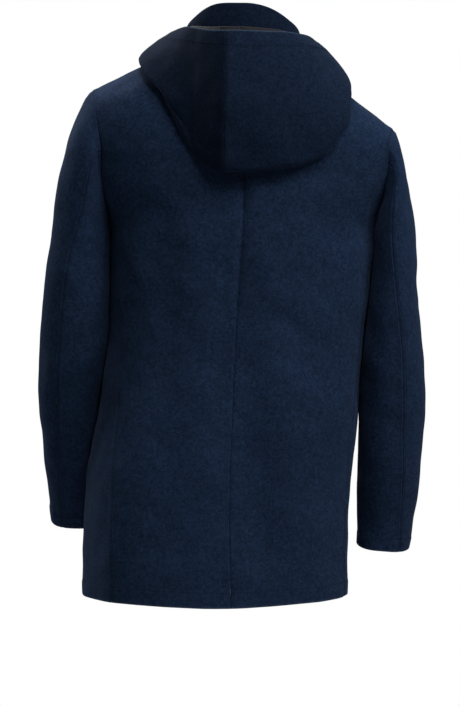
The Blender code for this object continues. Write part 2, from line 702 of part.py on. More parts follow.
def foot_angle(x, behind):
    """The meridian, on the back or on the front, that crosses WALL_TOP at this x."""
    turn = np.radians(np.linspace(0.0, 88.0, 353))
    turn = turn if behind else math.pi - turn
    made = np.zeros(np.shape(x))
    for sign in (1, -1):
        foot = section(turn * sign, np.full_like(turn, WALL_TOP))[0] * sign
        found = np.interp(np.abs(x), foot, turn) * sign
        made = np.where(np.sign(x) * sign >= 0, found, made)
    return made


def saddle(x, q, out):
    """A point over the shoulder: q runs up the back to ARC on the seam and down the front, moved out."""
    behind = q <= ARC
    phi = np.where(behind, foot_angle(x, True), foot_angle(x, False))
    level = np.where(behind, WALL_TOP + q, WALL_TOP + 2 * ARC - q)
    return torso(phi, level) + out * torso_normal(phi, np.minimum(level, WALL_TOP + ARC * 0.985))


def saddle_q(x, z, side):
    """The q of a height on the back (side 1) or the front (side -1)."""
    top = look(RIDGE_COLUMNS, RIDGE_ROWS, "x", "z", x)
    share = np.clip((z - WALL_TOP) / (top - WALL_TOP), 0.0, 1.0)
    power = np.where(side > 0, BACK_ROUND, FRONT_ROUND) / 2
    q = np.where(z < WALL_TOP, z - WALL_TOP, ARC * np.arcsin(share ** power) / (math.pi / 2))
    return np.where(side > 0, q, 2 * ARC - q)


def saddle_q_of_y(x, y):
    """The q of a point over the shoulder from its plan position."""
    behind = y > RIDGE_Y
    phi = np.where(behind, foot_angle(x, True), foot_angle(x, False))
    foot = section(phi, np.full_like(x, WALL_TOP))[1]
    share = np.clip((y - RIDGE_Y) / (foot - RIDGE_Y), 0.0, 1.0)
    power = np.where(behind, BACK_ROUND, FRONT_ROUND) / 2
    q = ARC * np.arccos(np.clip(share ** power, 0.0, 1.0)) / (math.pi / 2)
    return np.where(behind, q, 2 * ARC - q)


def hood_lines():
    """For each meridian: x and q of its neck end and of its lowest line."""
    angle = np.radians(column(HOOD_COLUMNS, HOOD_ROWS, "neck_angle"))
    depth = np.where(np.cos(angle) > 0, NECK_BACK, NECK_FRONT) + HOOD_NECK
    neck_x = (NECK_HALF + HOOD_NECK) * np.sin(angle)
    neck_q = saddle_q_of_y(neck_x, RIDGE_Y + depth * np.cos(angle))
    low_x = column(HOOD_COLUMNS, HOOD_ROWS, "low_x")
    low_z = column(HOOD_COLUMNS, HOOD_ROWS, "low_z")
    low_q = saddle_q(low_x, low_z, column(HOOD_COLUMNS, HOOD_ROWS, "low_side"))
    return neck_x, neck_q, low_x, low_q


HOOD_SPLIT = 0.36


def hood_face(s, t):
    """The hood's outer face: t 0 at the neck seam, down the back, round the bottom, the mouth edge at 1."""
    s, t = np.broadcast_arrays(np.asarray(s, float), np.asarray(t, float))
    keys = column(HOOD_COLUMNS, HOOD_ROWS, "s")
    read = lambda name: look(HOOD_COLUMNS, HOOD_ROWS, "s", name, s)
    neck_x, neck_q, low_x, low_q = (smooth_table(s, keys, line) for line in hood_lines())
    a = np.clip(t / HOOD_SPLIT, 0.0, 1.0)
    under = saddle(neck_x + (low_x - neck_x) * a, neck_q + (low_q - neck_q) * a, HOOD_CLEAR)
    low = saddle(low_x, low_q, HOOD_CLEAR)
    near = saddle(low_x + (neck_x - low_x) * 0.04, low_q + (neck_q - low_q) * 0.04, HOOD_CLEAR)
    off = unit(saddle(low_x, low_q, HOOD_CLEAR + 0.01) - low)
    heading = unit(unit(low - near) + 0.8 * off)
    mouth = np.stack([read("mouth_x"), read("mouth_y"), read("mouth_z")], axis=-1)
    b = np.clip((t - HOOD_SPLIT) / (1 - HOOD_SPLIT), 0.0, 1.0)[..., None]
    turn = np.radians(read("neck_angle"))
    tuck = read("tuck")
    rising = unit(np.stack([-tuck * np.sin(turn), -tuck * np.cos(turn), 1.0 + 0 * turn], axis=-1))
    rear = (
        low * (1 + 2 * b) * (1 - b) ** 2
        + heading * read("sag")[..., None] * b * (1 - b) ** 2
        + mouth * b * b * (3 - 2 * b)
        + rising * read("rise")[..., None] * b * b * (b - 1)
    )
    return np.where((t <= HOOD_SPLIT)[..., None], under, rear)


def build_hood():
    rear = HOOD_SPLIT + (1 - HOOD_SPLIT) * np.linspace(0.0, 1.0, 13)[1:] ** 1.35
    t = np.concatenate([np.linspace(0.0, HOOD_SPLIT, 6), rear])[:, None]
    for side, word in ((1, "left"), (-1, "right")):
        s = (np.linspace(0.0, 1.0, 15) * side)[None, :]
        a, b = np.broadcast_arrays(s, t)
        points = hood_face(a, b)
        normals = face_normal(hood_face, a, b, 4e-3, 4e-3, -1.0)
        outer = seam_trim(points, normals, (SEAM, 0.0, 0.0, 0.0))
        add_wall("hood_" + word, outer, outer - CLOTH * normals)


FACING_S = (-0.40, 0.40)   # the stretch of the hood's mouth whose facing shows
FACING_DEEP = 0.10         # share of the hood's depth that the facing lies against
FACING_UP = 0.007          # how far it stands above the mouth edge


def build_facing():
    s = np.linspace(FACING_S[0], FACING_S[1], 19)[None, :]
    t = np.linspace(1.0 - FACING_DEEP, 1.0, 4)[:, None]
    a, b = np.broadcast_arrays(s, t)
    points = hood_face(a, b)
    normals = face_normal(hood_face, a, b - 4e-3, 4e-3, 4e-3, -1.0)
    lining = points - (CLOTH + 0.0017) * normals
    end = unit(lining[-1] - lining[-2])
    edge = np.cos(np.clip(a[0] / 0.46, -1, 1) * math.pi / 2)[:, None]
    rows = [lining]
    for part in (0.4, 1.0):
        rows.append((lining[-1] + end * FACING_UP * part * edge + end * 0.0008 * part)[None])
    lining = np.concatenate(rows)
    normals = np.concatenate([normals, normals[-1:], normals[-1:]])
    add_wall("hood_facing", lining, lining - 0.0016 * normals, CHARCOAL)


def build_buttons():
    for row in BUTTON_ROWS:
        button = dict(zip(BUTTON_COLUMNS, row))
        phi, level = np.array([math.pi]), np.array([button["z"]])
        spot, normal = torso(phi, level)[0], torso_normal(phi, level)[0]
        bpy.ops.mesh.primitive_cylinder_add(vertices=20, radius=BUTTON_R, depth=BUTTON_T)
        obj = bpy.context.object
        obj.name = button["name"]
        centre = spot + normal * (BUTTON_T / 2 + 0.0005)
        obj.location = centre
        obj.rotation_euler = (math.acos(float(normal[2])), 0.0, math.atan2(normal[0], -normal[1]))
        obj.data.materials.append(paint("paint_" + button["name"], BUTTON_NAVY, 0.4))
        for owner in list(obj.users_collection):
            owner.objects.unlink(obj)
        COAT.objects.link(obj)
        soft = obj.modifiers.new("edge", "BEVEL")
        soft.width = 0.0008
        soft.segments = 1


clear_scene()
COAT = coat_collection()
build_body()
build_sleeves()
build_collar()
build_hood()
build_facing()
build_buttons()
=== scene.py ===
"""A hooded wool stadium coat, worn and standing hollow, seen from behind. A script for Blender 4.5."""

import math

import bmesh
import bpy
import numpy as np
from bpy.props import FloatProperty, FloatVectorProperty, PointerProperty
from mathutils import Matrix, Vector


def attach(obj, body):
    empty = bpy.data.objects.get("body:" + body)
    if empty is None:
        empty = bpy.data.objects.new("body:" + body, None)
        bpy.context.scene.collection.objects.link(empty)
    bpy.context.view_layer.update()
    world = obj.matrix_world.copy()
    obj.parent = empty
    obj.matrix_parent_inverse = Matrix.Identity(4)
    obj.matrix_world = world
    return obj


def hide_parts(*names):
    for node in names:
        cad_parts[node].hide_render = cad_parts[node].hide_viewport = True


bl_info = {
    "name": "Stadium coat",
    "version": (1, 0, 0),
    "blender": (4, 5, 0),
    "location": "3D View > Sidebar > Coat",
    "description": "Builds the cloth, stitching and buttons of a hooded wool coat",
    "category": "Object",
}

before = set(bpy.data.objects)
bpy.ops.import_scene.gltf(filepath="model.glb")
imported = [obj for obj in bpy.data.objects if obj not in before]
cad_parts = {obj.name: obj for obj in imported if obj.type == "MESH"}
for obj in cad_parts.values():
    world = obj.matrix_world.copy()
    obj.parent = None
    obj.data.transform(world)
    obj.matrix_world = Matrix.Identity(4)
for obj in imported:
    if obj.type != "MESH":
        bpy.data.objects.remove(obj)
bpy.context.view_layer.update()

# Driving dimensions, in metres and degrees.
CLOTH = 0.003          # thickness of the melton cloth
SEAM = 0.0003          # gap between two pieces at a seam
HEM_Z = -0.836         # hem below the shoulder-neck level
HEM_RISE = 0.009       # how much the hem rises at the sides
WALL_TOP = -0.17       # where the body's upright wall begins to round over to the shoulder
ARC = 0.16             # levels given to that rounding
UNDERARM = -0.262      # lowest level of the armholes
SQUARE = 2.5           # squareness of the body's sections, 2 is an ellipse
RIDGE_Y = -0.006       # the shoulder seams' place in depth
BACK_ROUND = 2.25      # squareness of the roll over the shoulders, back and front
FRONT_ROUND = 2.05
NECK_HALF = 0.083      # half width of the neckline
NECK_BACK = 0.084      # neckline's depth behind and before the shoulder seams
NECK_FRONT = 0.104
SHOULDER_LEFT = 0.226  # shoulder points, from the middle
SHOULDER_RIGHT = 0.222
SIDE_CLEAR = 0.0018    # least gap between a sleeve and the body's side
SIDE_SEAM_RIGHT = 9.0   # degrees by which the right side seam lies nearer the side than the left
OVERLAP = 0.020        # how far each front runs past the centre front
FRONT_RADIUS = 0.137   # the body's radius at the centre front, which turns a width there into an angle
SUNK = CLOTH + 0.0015  # how far the right front lies under the left one
SUNK_WIDTH = 0.048     # where it starts to sink, from the centre front
SUNK_RAMP = 0.022      # the width over which it sinks
HOOD_CLEAR = 0.0042    # gap between the hood's under wall and the back

# The body's sections from the chest to the hem.
BODY_COLUMNS = ("z", "centre_x", "centre_y", "half_width", "back", "front", "twist")
BODY_ROWS = (
    (-0.170, -0.002, 0.000, 0.2500, 0.130, 0.128, 0.0),
    (-0.215, -0.001, 0.000, 0.2300, 0.130, 0.131, 0.0),
    (-0.265, 0.000, 0.000, 0.2020, 0.130, 0.133, 0.0),
    (-0.330, 0.002, 0.000, 0.1970, 0.130, 0.134, -1.0),
    (-0.390, 0.0065, 0.000, 0.1940, 0.129, 0.134, -1.0),
    (-0.450, 0.0125, 0.000, 0.1925, 0.129, 0.135, 0.5),
    (-0.510, 0.0190, 0.002, 0.1930, 0.130, 0.136, 2.0),
    (-0.560, 0.0235, 0.003, 0.1950, 0.132, 0.137, 3.5),
    (-0.610, 0.0310, 0.004, 0.1965, 0.134, 0.138, 5.5),
    (-0.660, 0.0370, 0.005, 0.1975, 0.136, 0.139, 7.4),
    (-0.750, 0.0415, 0.006, 0.1975, 0.139, 0.141, 9.0),
    (-0.810, 0.0425, 0.006, 0.1975, 0.140, 0.142, 10.0),
    (-0.860, 0.0425, 0.006, 0.1965, 0.140, 0.142, 10.0),
)
# Shoulder seam heights by x, the wearer's right shoulder lower.
RIDGE_COLUMNS = ("x", "z")
RIDGE_ROWS = (
    (-0.240, -0.150),
    (-0.222, -0.131),
    (-0.200, -0.114),
    (-0.163, -0.085),
    (-0.120, -0.053),
    (-0.083, -0.026),
    (0.000, 0.006),
    (0.083, -0.004),
    (0.150, -0.036),
    (0.200, -0.061),
    (0.226, -0.074),
    (0.245, -0.084),
)
# The edge of the back and front at the side: side seam below, armhole above.
EDGE_COLUMNS = ("level", "back_angle", "front_angle")
EDGE_ROWS = (
    (-0.860, 61.0, 61.0),
    (-0.660, 61.0, 61.0),
    (-0.560, 63.5, 63.5),
    (-0.460, 67.0, 67.0),
    (-0.380, 71.0, 71.0),
    (-0.300, 76.0, 76.0),
    (-0.262, 79.0, 79.0),
    (-0.2615, 79.0, 90.0),
    (-0.245, 76.0, 105.0),
    (-0.220, 72.0, 111.0),
    (-0.170, 68.0, 114.5),
    (-0.100, 67.8, 114.0),
    (-0.010, 67.5, 112.5),
)
# Soft folds raised from (plus) or sunk into (minus) the body, along a line from 0 to 1.
FOLD_COLUMNS = ("angle_0", "z_0", "angle_1", "z_1", "width", "height")
FOLD_ROWS = (
    (23.0, -0.380, 17.0, -0.640, 0.034, 0.0042),
    (50.0, -0.270, 44.0, -0.500, 0.045, -0.0055),
    (60.0, -0.540, 58.0, -0.800, 0.040, 0.0040),
    (-22.0, -0.460, -40.0, -0.700, 0.036, 0.0045),
    (-8.0, -0.500, -22.0, -0.760, 0.030, -0.0040),
    (-50.0, -0.300, -42.0, -0.470, 0.040, -0.0040),
    (-28.0, -0.250, -20.0, -0.380, 0.040, 0.0035),
    (150.0, -0.300, 158.0, -0.560, 0.038, -0.0045),
    (-148.0, -0.330, -160.0, -0.620, 0.038, -0.0045),
    (132.0, -0.500, 138.0, -0.780, 0.040, 0.0045),
    (-130.0, -0.480, -136.0, -0.790, 0.040, 0.0045),
)
# The sleeves' tubes from the upper arm to the cuff.
ARM_COLUMNS = ("x", "y", "z", "half_width", "half_depth")
ARM_LEFT = (
    (0.2425, 0.004, -0.295, 0.0440, 0.0730),
    (0.2475, 0.001, -0.360, 0.0485, 0.0705),
    (0.2520, -0.006, -0.420, 0.0510, 0.0675),
    (0.2560, -0.018, -0.480, 0.0510, 0.0640),
    (0.2580, -0.034, -0.540, 0.0495, 0.0605),
    (0.2575, -0.054, -0.600, 0.0470, 0.0570),
    (0.2555, -0.077, -0.658, 0.0440, 0.0530),
    (0.2535, -0.100, -0.717, 0.0415, 0.0490),
)
ARM_RIGHT = (
    (-0.2240, 0.004, -0.305, 0.0325, 0.0780),
    (-0.2235, 0.001, -0.360, 0.0355, 0.0750),
    (-0.2235, -0.003, -0.420, 0.0415, 0.0705),
    (-0.2245, -0.009, -0.480, 0.0475, 0.0660),
    (-0.2240, -0.017, -0.540, 0.0500, 0.0625),
    (-0.2225, -0.027, -0.600, 0.0485, 0.0595),
    (-0.2205, -0.038, -0.660, 0.0460, 0.0560),
    (-0.2160, -0.049, -0.715, 0.0420, 0.0525),
    (-0.2125, -0.056, -0.758, 0.0395, 0.0500),
)
# How each sleeve leaves its armhole, by angle round the arm: 0 outward, 90 back, 180 under, 270 front.
CAP_COLUMNS = ("angle", "fold", "start", "end")
CAP_LEFT = (
    (0.0, -26.0, 0.16, 0.20),
    (45.0, 0.0, 0.15, 0.18),
    (90.0, 62.0, 0.09, 0.14),
    (135.0, 130.0, 0.035, 0.06),
    (180.0, 172.0, 0.012, 0.015),
    (225.0, 130.0, 0.035, 0.06),
    (270.0, 55.0, 0.10, 0.14),
    (315.0, 0.0, 0.15, 0.18),
    (360.0, -26.0, 0.16, 0.20),
)
CAP_RIGHT = (
    (0.0, -32.0, 0.075, 0.15),
    (45.0, -8.0, 0.080, 0.15),
    (90.0, 40.0, 0.070, 0.13),
    (135.0, 122.0, 0.035, 0.06),
    (180.0, 172.0, 0.012, 0.015),
    (225.0, 128.0, 0.035, 0.06),
    (270.0, 46.0, 0.080, 0.13),
    (315.0, -8.0, 0.080, 0.15),
    (360.0, -32.0, 0.075, 0.15),
)
# Where the two sleeve seams run: share 0 is the armhole, 1 the cuff.
SEAM_COLUMNS = ("share", "hind", "fore")
SEAM_LEFT = (
    (0.00, 101.0, 246.0),
    (0.12, 97.0, 244.0),
    (0.20, 91.0, 243.0),
    (0.26, 84.0, 242.0),
    (0.36, 77.0, 240.0),
    (0.50, 73.0, 238.0),
    (0.70, 71.5, 237.0),
    (0.85, 67.0, 236.0),
    (1.00, 64.0, 235.0),
)
SEAM_RIGHT = (
    (0.00, 102.0, 246.0),
    (0.12, 99.0, 244.0),
    (0.26, 94.0, 242.0),
    (0.38, 88.0, 240.0),
    (0.50, 81.0, 238.0),
    (0.65, 77.0, 237.0),
    (0.80, 72.0, 236.0),
    (1.00, 61.0, 235.0),
)
# The hood by meridian: its place on the neckline, its lowest line on the body, its mouth edge.
# low_side is 1 on the back and -1 on the front; a low_z above the shoulder seam means on the seam.
HOOD_COLUMNS = (
    "s", "neck_angle", "low_x", "low_z", "low_side",
    "mouth_x", "mouth_y", "mouth_z", "sag", "rise", "tuck",
)
HOOD_ROWS = (
    (-1.00, -160.0, -0.036, -0.088, -1, -0.033, -0.131, -0.075, 0.004, 0.006, 0.3),
    (-0.84, -130.0, -0.098, -0.094, -1, -0.088, -0.107, -0.064, 0.030, 0.040, 1.0),
    (-0.70, -104.0, -0.132, -0.098, -1, -0.109, -0.054, -0.030, 0.050, 0.070, 1.6),
    (-0.58, -82.0, -0.143, 0.050, 1, -0.110, 0.004, -0.010, 0.060, 0.090, 1.8),
    (-0.46, -62.0, -0.147, -0.116, 1, -0.100, 0.060, -0.002, 0.085, 0.110, 1.4),
    (-0.34, -44.0, -0.133, -0.150, 1, -0.082, 0.102, 0.001, 0.120, 0.130, 0.9),
    (-0.23, -28.0, -0.104, -0.180, 1, -0.054, 0.130, 0.000, 0.160, 0.160, 0.55),
    (-0.11, -12.0, -0.050, -0.196, 1, -0.017, 0.146, -0.001, 0.180, 0.175, 0.35),
    (0.00, 8.0, 0.0245, -0.199, 1, 0.0225, 0.149, -0.001, 0.180, 0.175, 0.30),
    (0.11, 22.0, 0.053, -0.189, 1, 0.045, 0.142, 0.001, 0.168, 0.165, 0.40),
    (0.23, 37.0, 0.081, -0.151, 1, 0.068, 0.118, 0.007, 0.122, 0.140, 0.60),
    (0.34, 50.0, 0.107, -0.101, 1, 0.086, 0.082, 0.013, 0.098, 0.115, 0.9),
    (0.46, 66.0, 0.134, -0.062, 1, 0.100, 0.038, 0.015, 0.077, 0.090, 1.4),
    (0.58, 84.0, 0.141, 0.050, 1, 0.108, -0.010, 0.009, 0.060, 0.080, 1.8),
    (0.70, 104.0, 0.128, -0.058, -1, 0.107, -0.054, -0.012, 0.045, 0.065, 1.6),
    (0.84, 130.0, 0.096, -0.082, -1, 0.086, -0.107, -0.053, 0.030, 0.040, 1.0),
    (1.00, 160.0, 0.036, -0.088, -1, 0.033, -0.131, -0.075, 0.004, 0.006, 0.3),
)
HOOD_NECK = 0.0075   # how far outside the neckline the hood's seam runs
# The collar's top edge round the neck, 0 at the centre back.
COLLAR_COLUMNS = ("angle", "top_z", "lean")
COLLAR_ROWS = (
    (-180.0, -0.054, 0.004),
    (-150.0, -0.044, 0.003),
    (-115.0, -0.014, 0.002),
    (-85.0, 0.012, 0.000),
    (-60.0, 0.028, -0.004),
    (-35.0, 0.041, -0.008),
    (0.0, 0.0485, -0.010),
    (38.0, 0.047, -0.008),
    (60.0, 0.034, -0.004),
    (85.0, 0.020, 0.000),
    (115.0, -0.004, 0.002),
    (150.0, -0.038, 0.003),
    (180.0, -0.054, 0.004),
)
BUTTON_COLUMNS = ("name", "z")
BUTTON_ROWS = (
    ("button_1", -0.125),
    ("button_2", -0.240),
    ("button_3", -0.355),
    ("button_4", -0.470),
    ("button_5", -0.585),
)


def column(columns, rows, name):
    place = columns.index(name)
    return np.array([row[place] for row in rows], float)


def smooth_table(at, known, value):
    """Cubic Hermite through a table's rows, with finite-difference slopes."""
    at = np.asarray(at, float)
    order = np.argsort(known)
    known, value = known[order], value[order]
    step = np.diff(known)
    rise = np.diff(value) / step
    slope = np.empty_like(value)
    slope[1:-1] = (rise[:-1] * step[1:] + rise[1:] * step[:-1]) / (step[1:] + step[:-1])
    slope[0], slope[-1] = rise[0], rise[-1]
    turned = rise[:-1] * rise[1:] <= 0
    slope[1:-1][turned] = 0.0
    k = np.clip(np.searchsorted(known, at) - 1, 0, len(step) - 1)
    h = step[k]
    t = np.clip((at - known[k]) / h, 0.0, 1.0)
    return (
        value[k] * (1 + 2 * t) * (1 - t) ** 2
        + slope[k] * h * t * (1 - t) ** 2
        + value[k + 1] * t * t * (3 - 2 * t)
        + slope[k + 1] * h * t * t * (t - 1)
    )


def look(columns, rows, key, name, at):
    return smooth_table(at, column(columns, rows, key), column(columns, rows, name))


def linear(columns, rows, key, name, at):
    known = column(columns, rows, key)
    order = np.argsort(known)
    return np.interp(at, known[order], column(columns, rows, name)[order])


def ease(t):
    t = np.clip(t, 0.0, 1.0)
    return t * t * (3 - 2 * t)


def signed_power(value, power):
    return np.sign(value) * np.abs(value) ** power


def folds(phi, z, finely):
    """Height of the soft folds at an angle round the body (radians) and a height, finely with creases."""
    total = np.zeros(np.broadcast(phi, z).shape)
    for row in FOLD_ROWS + CREASE_ROWS if finely else FOLD_ROWS:
        fold = dict(zip(FOLD_COLUMNS, row))
        arm = 0.155
        turn = math.radians(fold["angle_0"])
        around = (phi - turn + math.pi) % (2 * math.pi) - math.pi
        ax, az = 0.0, fold["z_0"]
        bx, bz = (math.radians(fold["angle_1"]) - turn) * arm, fold["z_1"]
        length = math.hypot(bx - ax, bz - az)
        px, pz = around * arm, z - az
        along = np.clip((px * (bx - ax) + pz * (bz - az)) / length ** 2, 0.0, 1.0)
        away = np.hypot(px - along * (bx - ax), pz - along * (bz - az))
        total += fold["height"] * np.exp(-((away / fold["width"]) ** 2))
    return total


def section(phi, z, finely=True):
    """The body's wall at a height: polar angle phi from the centre back, + towards the wearer's left."""
    read = lambda name: look(BODY_COLUMNS, BODY_ROWS, "z", name, z)
    sine, cosine = np.sin(phi), np.cos(phi)
    depth = np.where(cosine > 0, read("back"), read("front"))
    share = np.abs(sine / read("half_width")) ** SQUARE + np.abs(cosine / depth) ** SQUARE
    radius = share ** (-1 / SQUARE) + folds(phi, z, finely)
    turn = np.radians(read("twist"))
    x, y = radius * sine, radius * cosine
    return (
        read("centre_x") + x * np.cos(turn) - y * np.sin(turn),
        read("centre_y") + x * np.sin(turn) + y * np.cos(turn),
    )


def torso(phi, level, finely=True):
    """A point of the body's outer face. Above WALL_TOP the levels run over to the shoulder seam."""
    phi, level = np.broadcast_arrays(np.asarray(phi, float), np.asarray(level, float))
    phi = (phi + math.pi) % (2 * math.pi) - math.pi
    x, y = section(phi, np.minimum(level, WALL_TOP), finely)
    roll = np.maximum(level - WALL_TOP, 0.0) / ARC * math.pi / 2
    sine, cosine = np.sin(roll), np.cos(roll)
    reach = np.where(x > 0, SHOULDER_LEFT - 0.208, SHOULDER_RIGHT - 0.210)
    spread = reach * np.sign(x) * ease((np.abs(x) - NECK_HALF) / 0.125) * sine
    x = x + spread
    power = np.where(y > RIDGE_Y, 2 / BACK_ROUND, 2 / FRONT_ROUND)
    top = look(RIDGE_COLUMNS, RIDGE_ROWS, "x", "z", x)
    rolled_y = RIDGE_Y + (y - RIDGE_Y) * signed_power(cosine, power)
    rolled_z = WALL_TOP + (top - WALL_TOP) * signed_power(sine, power)
    above = level > WALL_TOP
    return np.stack(
        [x, np.where(above, rolled_y, y), np.where(above, rolled_z, level)], axis=-1
    )


def unit(v):
    return v / np.maximum(np.linalg.norm(v, axis=-1, keepdims=True), 1e-12)


def torso_normal(phi, level, finely=True):
    step = 2e-3
    across = torso(phi + step, level, finely) - torso(phi - step, level, finely)
    up = torso(phi, level + step, finely) - torso(phi, level - step, finely)
    return unit(np.cross(up, across))


def neck_level(phi):
    """The level at which the meridian phi ends: at the neckline, or at the shoulder seam outside it."""
    x, y = section(phi, WALL_TOP)
    inside = np.clip(1 - (x / NECK_HALF) ** 2, 0.0, 1.0)
    behind = y > RIDGE_Y
    reach = np.where(behind, NECK_BACK, -NECK_FRONT) * np.sqrt(inside)
    share = np.clip(reach / (y - RIDGE_Y), 0.0, 1.0)
    power = np.where(behind, BACK_ROUND, FRONT_ROUND) / 2
    return WALL_TOP + ARC * np.arccos(np.clip(share ** power, 0.0, 1.0)) / (math.pi / 2)


def hem_level(phi):
    return HEM_Z + HEM_RISE * np.sin(phi) ** 2


def edge_angle(level, name, side=1):
    shift = 0.0 if side > 0 else SIDE_SEAM_RIGHT * ease((UNDERARM - level) / 0.25)
    return np.radians(linear(EDGE_COLUMNS, EDGE_ROWS, "level", name, level) + shift)


def under_step(phi):
    """How far the right front sinks under the left one."""
    past = np.abs(phi) - math.pi
    return SUNK * ease((past * FRONT_RADIUS + SUNK_WIDTH) / SUNK_RAMP)


def armhole(side, theta):
    """(phi, level) on the armhole at an angle round the arm, in degrees, with 180 under the arm."""
    levels = np.linspace(UNDERARM + 0.0004, WALL_TOP + ARC, 60)
    back = np.stack([edge_angle(levels, "back_angle"), levels], axis=-1)[::-1]
    levels = np.concatenate([np.linspace(UNDERARM, -0.2616, 8), levels[1:]])
    front = np.stack([edge_angle(levels, "front_angle"), levels], axis=-1)
    path = np.concatenate([back, front])
    place = torso(path[:, 0] * side, path[:, 1])
    run = np.concatenate([[0.0], np.cumsum(np.linalg.norm(np.diff(place, axis=0), axis=1))])
    bottom = run[59 + 5]
    share = np.where(
        theta <= 180.0, theta / 180.0 * bottom, bottom + (theta - 180.0) / 180.0 * (run[-1] - bottom))
    return np.interp(share, run, path[:, 0]) * side, np.interp(share, run, path[:, 1])


def arm_path(table, share):
    """Centre, half width and half depth of the sleeve's tube, share 0 at the upper arm, 1 at the cuff."""
    keys = np.linspace(0.0, 1.0, len(table))
    read = lambda name: smooth_table(share, keys, column(ARM_COLUMNS, table, name))
    centre = np.stack([read("x"), read("y"), read("z")], axis=-1)
    return centre, read("half_width"), read("half_depth")


def arm_ring(table, share, theta, side):
    """A point of the sleeve's tube, its rings square to the arm."""
    centre, wide, deep = arm_path(table, share)
    ahead = arm_path(table, np.minimum(share + 0.02, 1.0))[0]
    behind = arm_path(table, np.maximum(share - 0.02, 0.0))[0]
    down = unit(ahead - behind)
    back = unit(np.cross(down, np.array([-1.0, 0.0, 0.0]) + 0 * down))
    out = np.cross(down, back)
    turn = np.radians(theta)
    power = 2.3
    radius = (np.abs(np.cos(turn) / wide) ** power + np.abs(np.sin(turn) / deep) ** power) ** (-1 / power)
    ring = (
        centre + out * side * (radius * np.cos(turn))[..., None]
        + back * (radius * np.sin(turn))[..., None])
    return ring, down


def keep_off_body(points):
    """Moves points of a sleeve out until SIDE_CLEAR from the body's side."""
    z = np.minimum(points[..., 2], WALL_TOP)
    cx = look(BODY_COLUMNS, BODY_ROWS, "z", "centre_x", z)
    cy = look(BODY_COLUMNS, BODY_ROWS, "z", "centre_y", z)
    turn = np.radians(look(BODY_COLUMNS, BODY_ROWS, "z", "twist", z))
    dx, dy = points[..., 0] - cx, points[..., 1] - cy
    x = dx * np.cos(turn) + dy * np.sin(turn)
    y = -dx * np.sin(turn) + dy * np.cos(turn)
    phi = np.arctan2(x, y)
    wall = torso(phi, z)
    away = np.hypot(dx, dy)
    near = np.hypot(wall[..., 0] - cx, wall[..., 1] - cy) + SIDE_CLEAR
    short = np.where(points[..., 2] < UNDERARM - 0.004, np.maximum(near - away, 0.0), 0.0)
    moved = points.copy()
    moved[..., 0] += dx / away * short
    moved[..., 1] += dy / away * short
    return moved


CAP_SHARE = 0.26  # share of the sleeve's rows that lies between armhole and upper arm


def sleeve(side, share, theta):
    """The sleeve's outer face: share 0 at the armhole, 1 at the cuff; theta in degrees round the arm."""
    share, theta = np.broadcast_arrays(np.asarray(share, float), np.asarray(theta, float))
    table = ARM_LEFT if side > 0 else ARM_RIGHT
    caps = CAP_LEFT if side > 0 else CAP_RIGHT
    theta = theta % 360.0
    tube, _ = arm_ring(table, np.clip((share - CAP_SHARE) / (1 - CAP_SHARE), 0.0, 1.0), theta, side)
    upper, down = arm_ring(table, np.zeros_like(share), theta, side)
    phi, level = armhole(side, theta)
    edge, normal = torso(phi, level), torso_normal(phi, level)
    phi_next, level_next = armhole(side, np.minimum(theta + 1.0, 359.99))
    phi_last, level_last = armhole(side, np.maximum(theta - 1.0, 0.0))
    along = unit(torso(phi_next, level_next) - torso(phi_last, level_last))
    leave = unit(np.cross(along, normal)) * side
    read = lambda name: look(CAP_COLUMNS, caps, "angle", name, theta)[..., None]
    fold = np.radians(read("fold"))
    heading = leave * np.cos(fold) + normal * np.sin(fold)
    start = edge + SEAM * 0.3 * (leave * np.cos(fold / 2) + normal * np.sin(fold / 2))
    t = np.clip(share / CAP_SHARE, 0.0, 1.0)[..., None]
    cap = (
        start * (1 + 2 * t) * (1 - t) ** 2
        + heading * read("start") * t * (1 - t) ** 2
        + upper * t * t * (3 - 2 * t)
        + down * read("end") * t * t * (t - 1)
    )
    return np.where((share < CAP_SHARE)[..., None], cap, tube)


def sleeve_normal(side, share, theta):
    low, high = np.maximum(share - 2e-3, 0.0), np.minimum(share + 2e-3, 1.0)
    along = sleeve(side, high, theta) - sleeve(side, low, theta)
    across = sleeve(side, share, theta + 0.5) - sleeve(side, share, theta - 0.5)
    return unit(np.cross(across, along)) * -side


def neck_point(alpha, down=0.0, out=0.0):
    """A point on the neckline at a plan angle in degrees, moved down the body and out from it."""
    alpha = np.radians(np.asarray(alpha, float))
    depth = np.where(np.cos(alpha) > 0, NECK_BACK, NECK_FRONT)
    x = NECK_HALF * np.sin(alpha)
    y = RIDGE_Y + depth * np.cos(alpha)
    phi = neck_phi(x, y)
    level = neck_level(phi) - down
    return torso(phi, level) + out * torso_normal(phi, level), phi, level


def neck_phi(x, y):
    """The meridian whose foot has this x."""
    return np.where(y > RIDGE_Y, foot_angle(x, True), foot_angle(x, False))


def collar_face(alpha, up):
    """The collar's outer face, up 0 at the neckline and 1 at its top edge."""
    alpha, up = np.broadcast_arrays(np.asarray(alpha, float), np.asarray(up, float))
    low, _, _ = neck_point(alpha, 0.0, 0.0)
    turn = np.radians(alpha)
    top = look(COLLAR_COLUMNS, COLLAR_ROWS, "angle", "top_z", alpha)
    lean = look(COLLAR_COLUMNS, COLLAR_ROWS, "angle", "lean", alpha)
    out = np.stack([np.sin(turn), np.cos(turn), 0 * turn], axis=-1)
    high = low + out * lean[..., None]
    high[..., 2] = top
    t = up[..., None]
    bulge = 0.003 * 4 * t * (1 - t)
    return low + (high - low) * t + out * bulge


def face_normal(face, a, b, step_a, step_b, sign):
    across = face(a + step_a, b) - face(a - step_a, b)
    along = face(a, b + step_b) - face(a, b - step_b)
    return unit(np.cross(across, along)) * sign


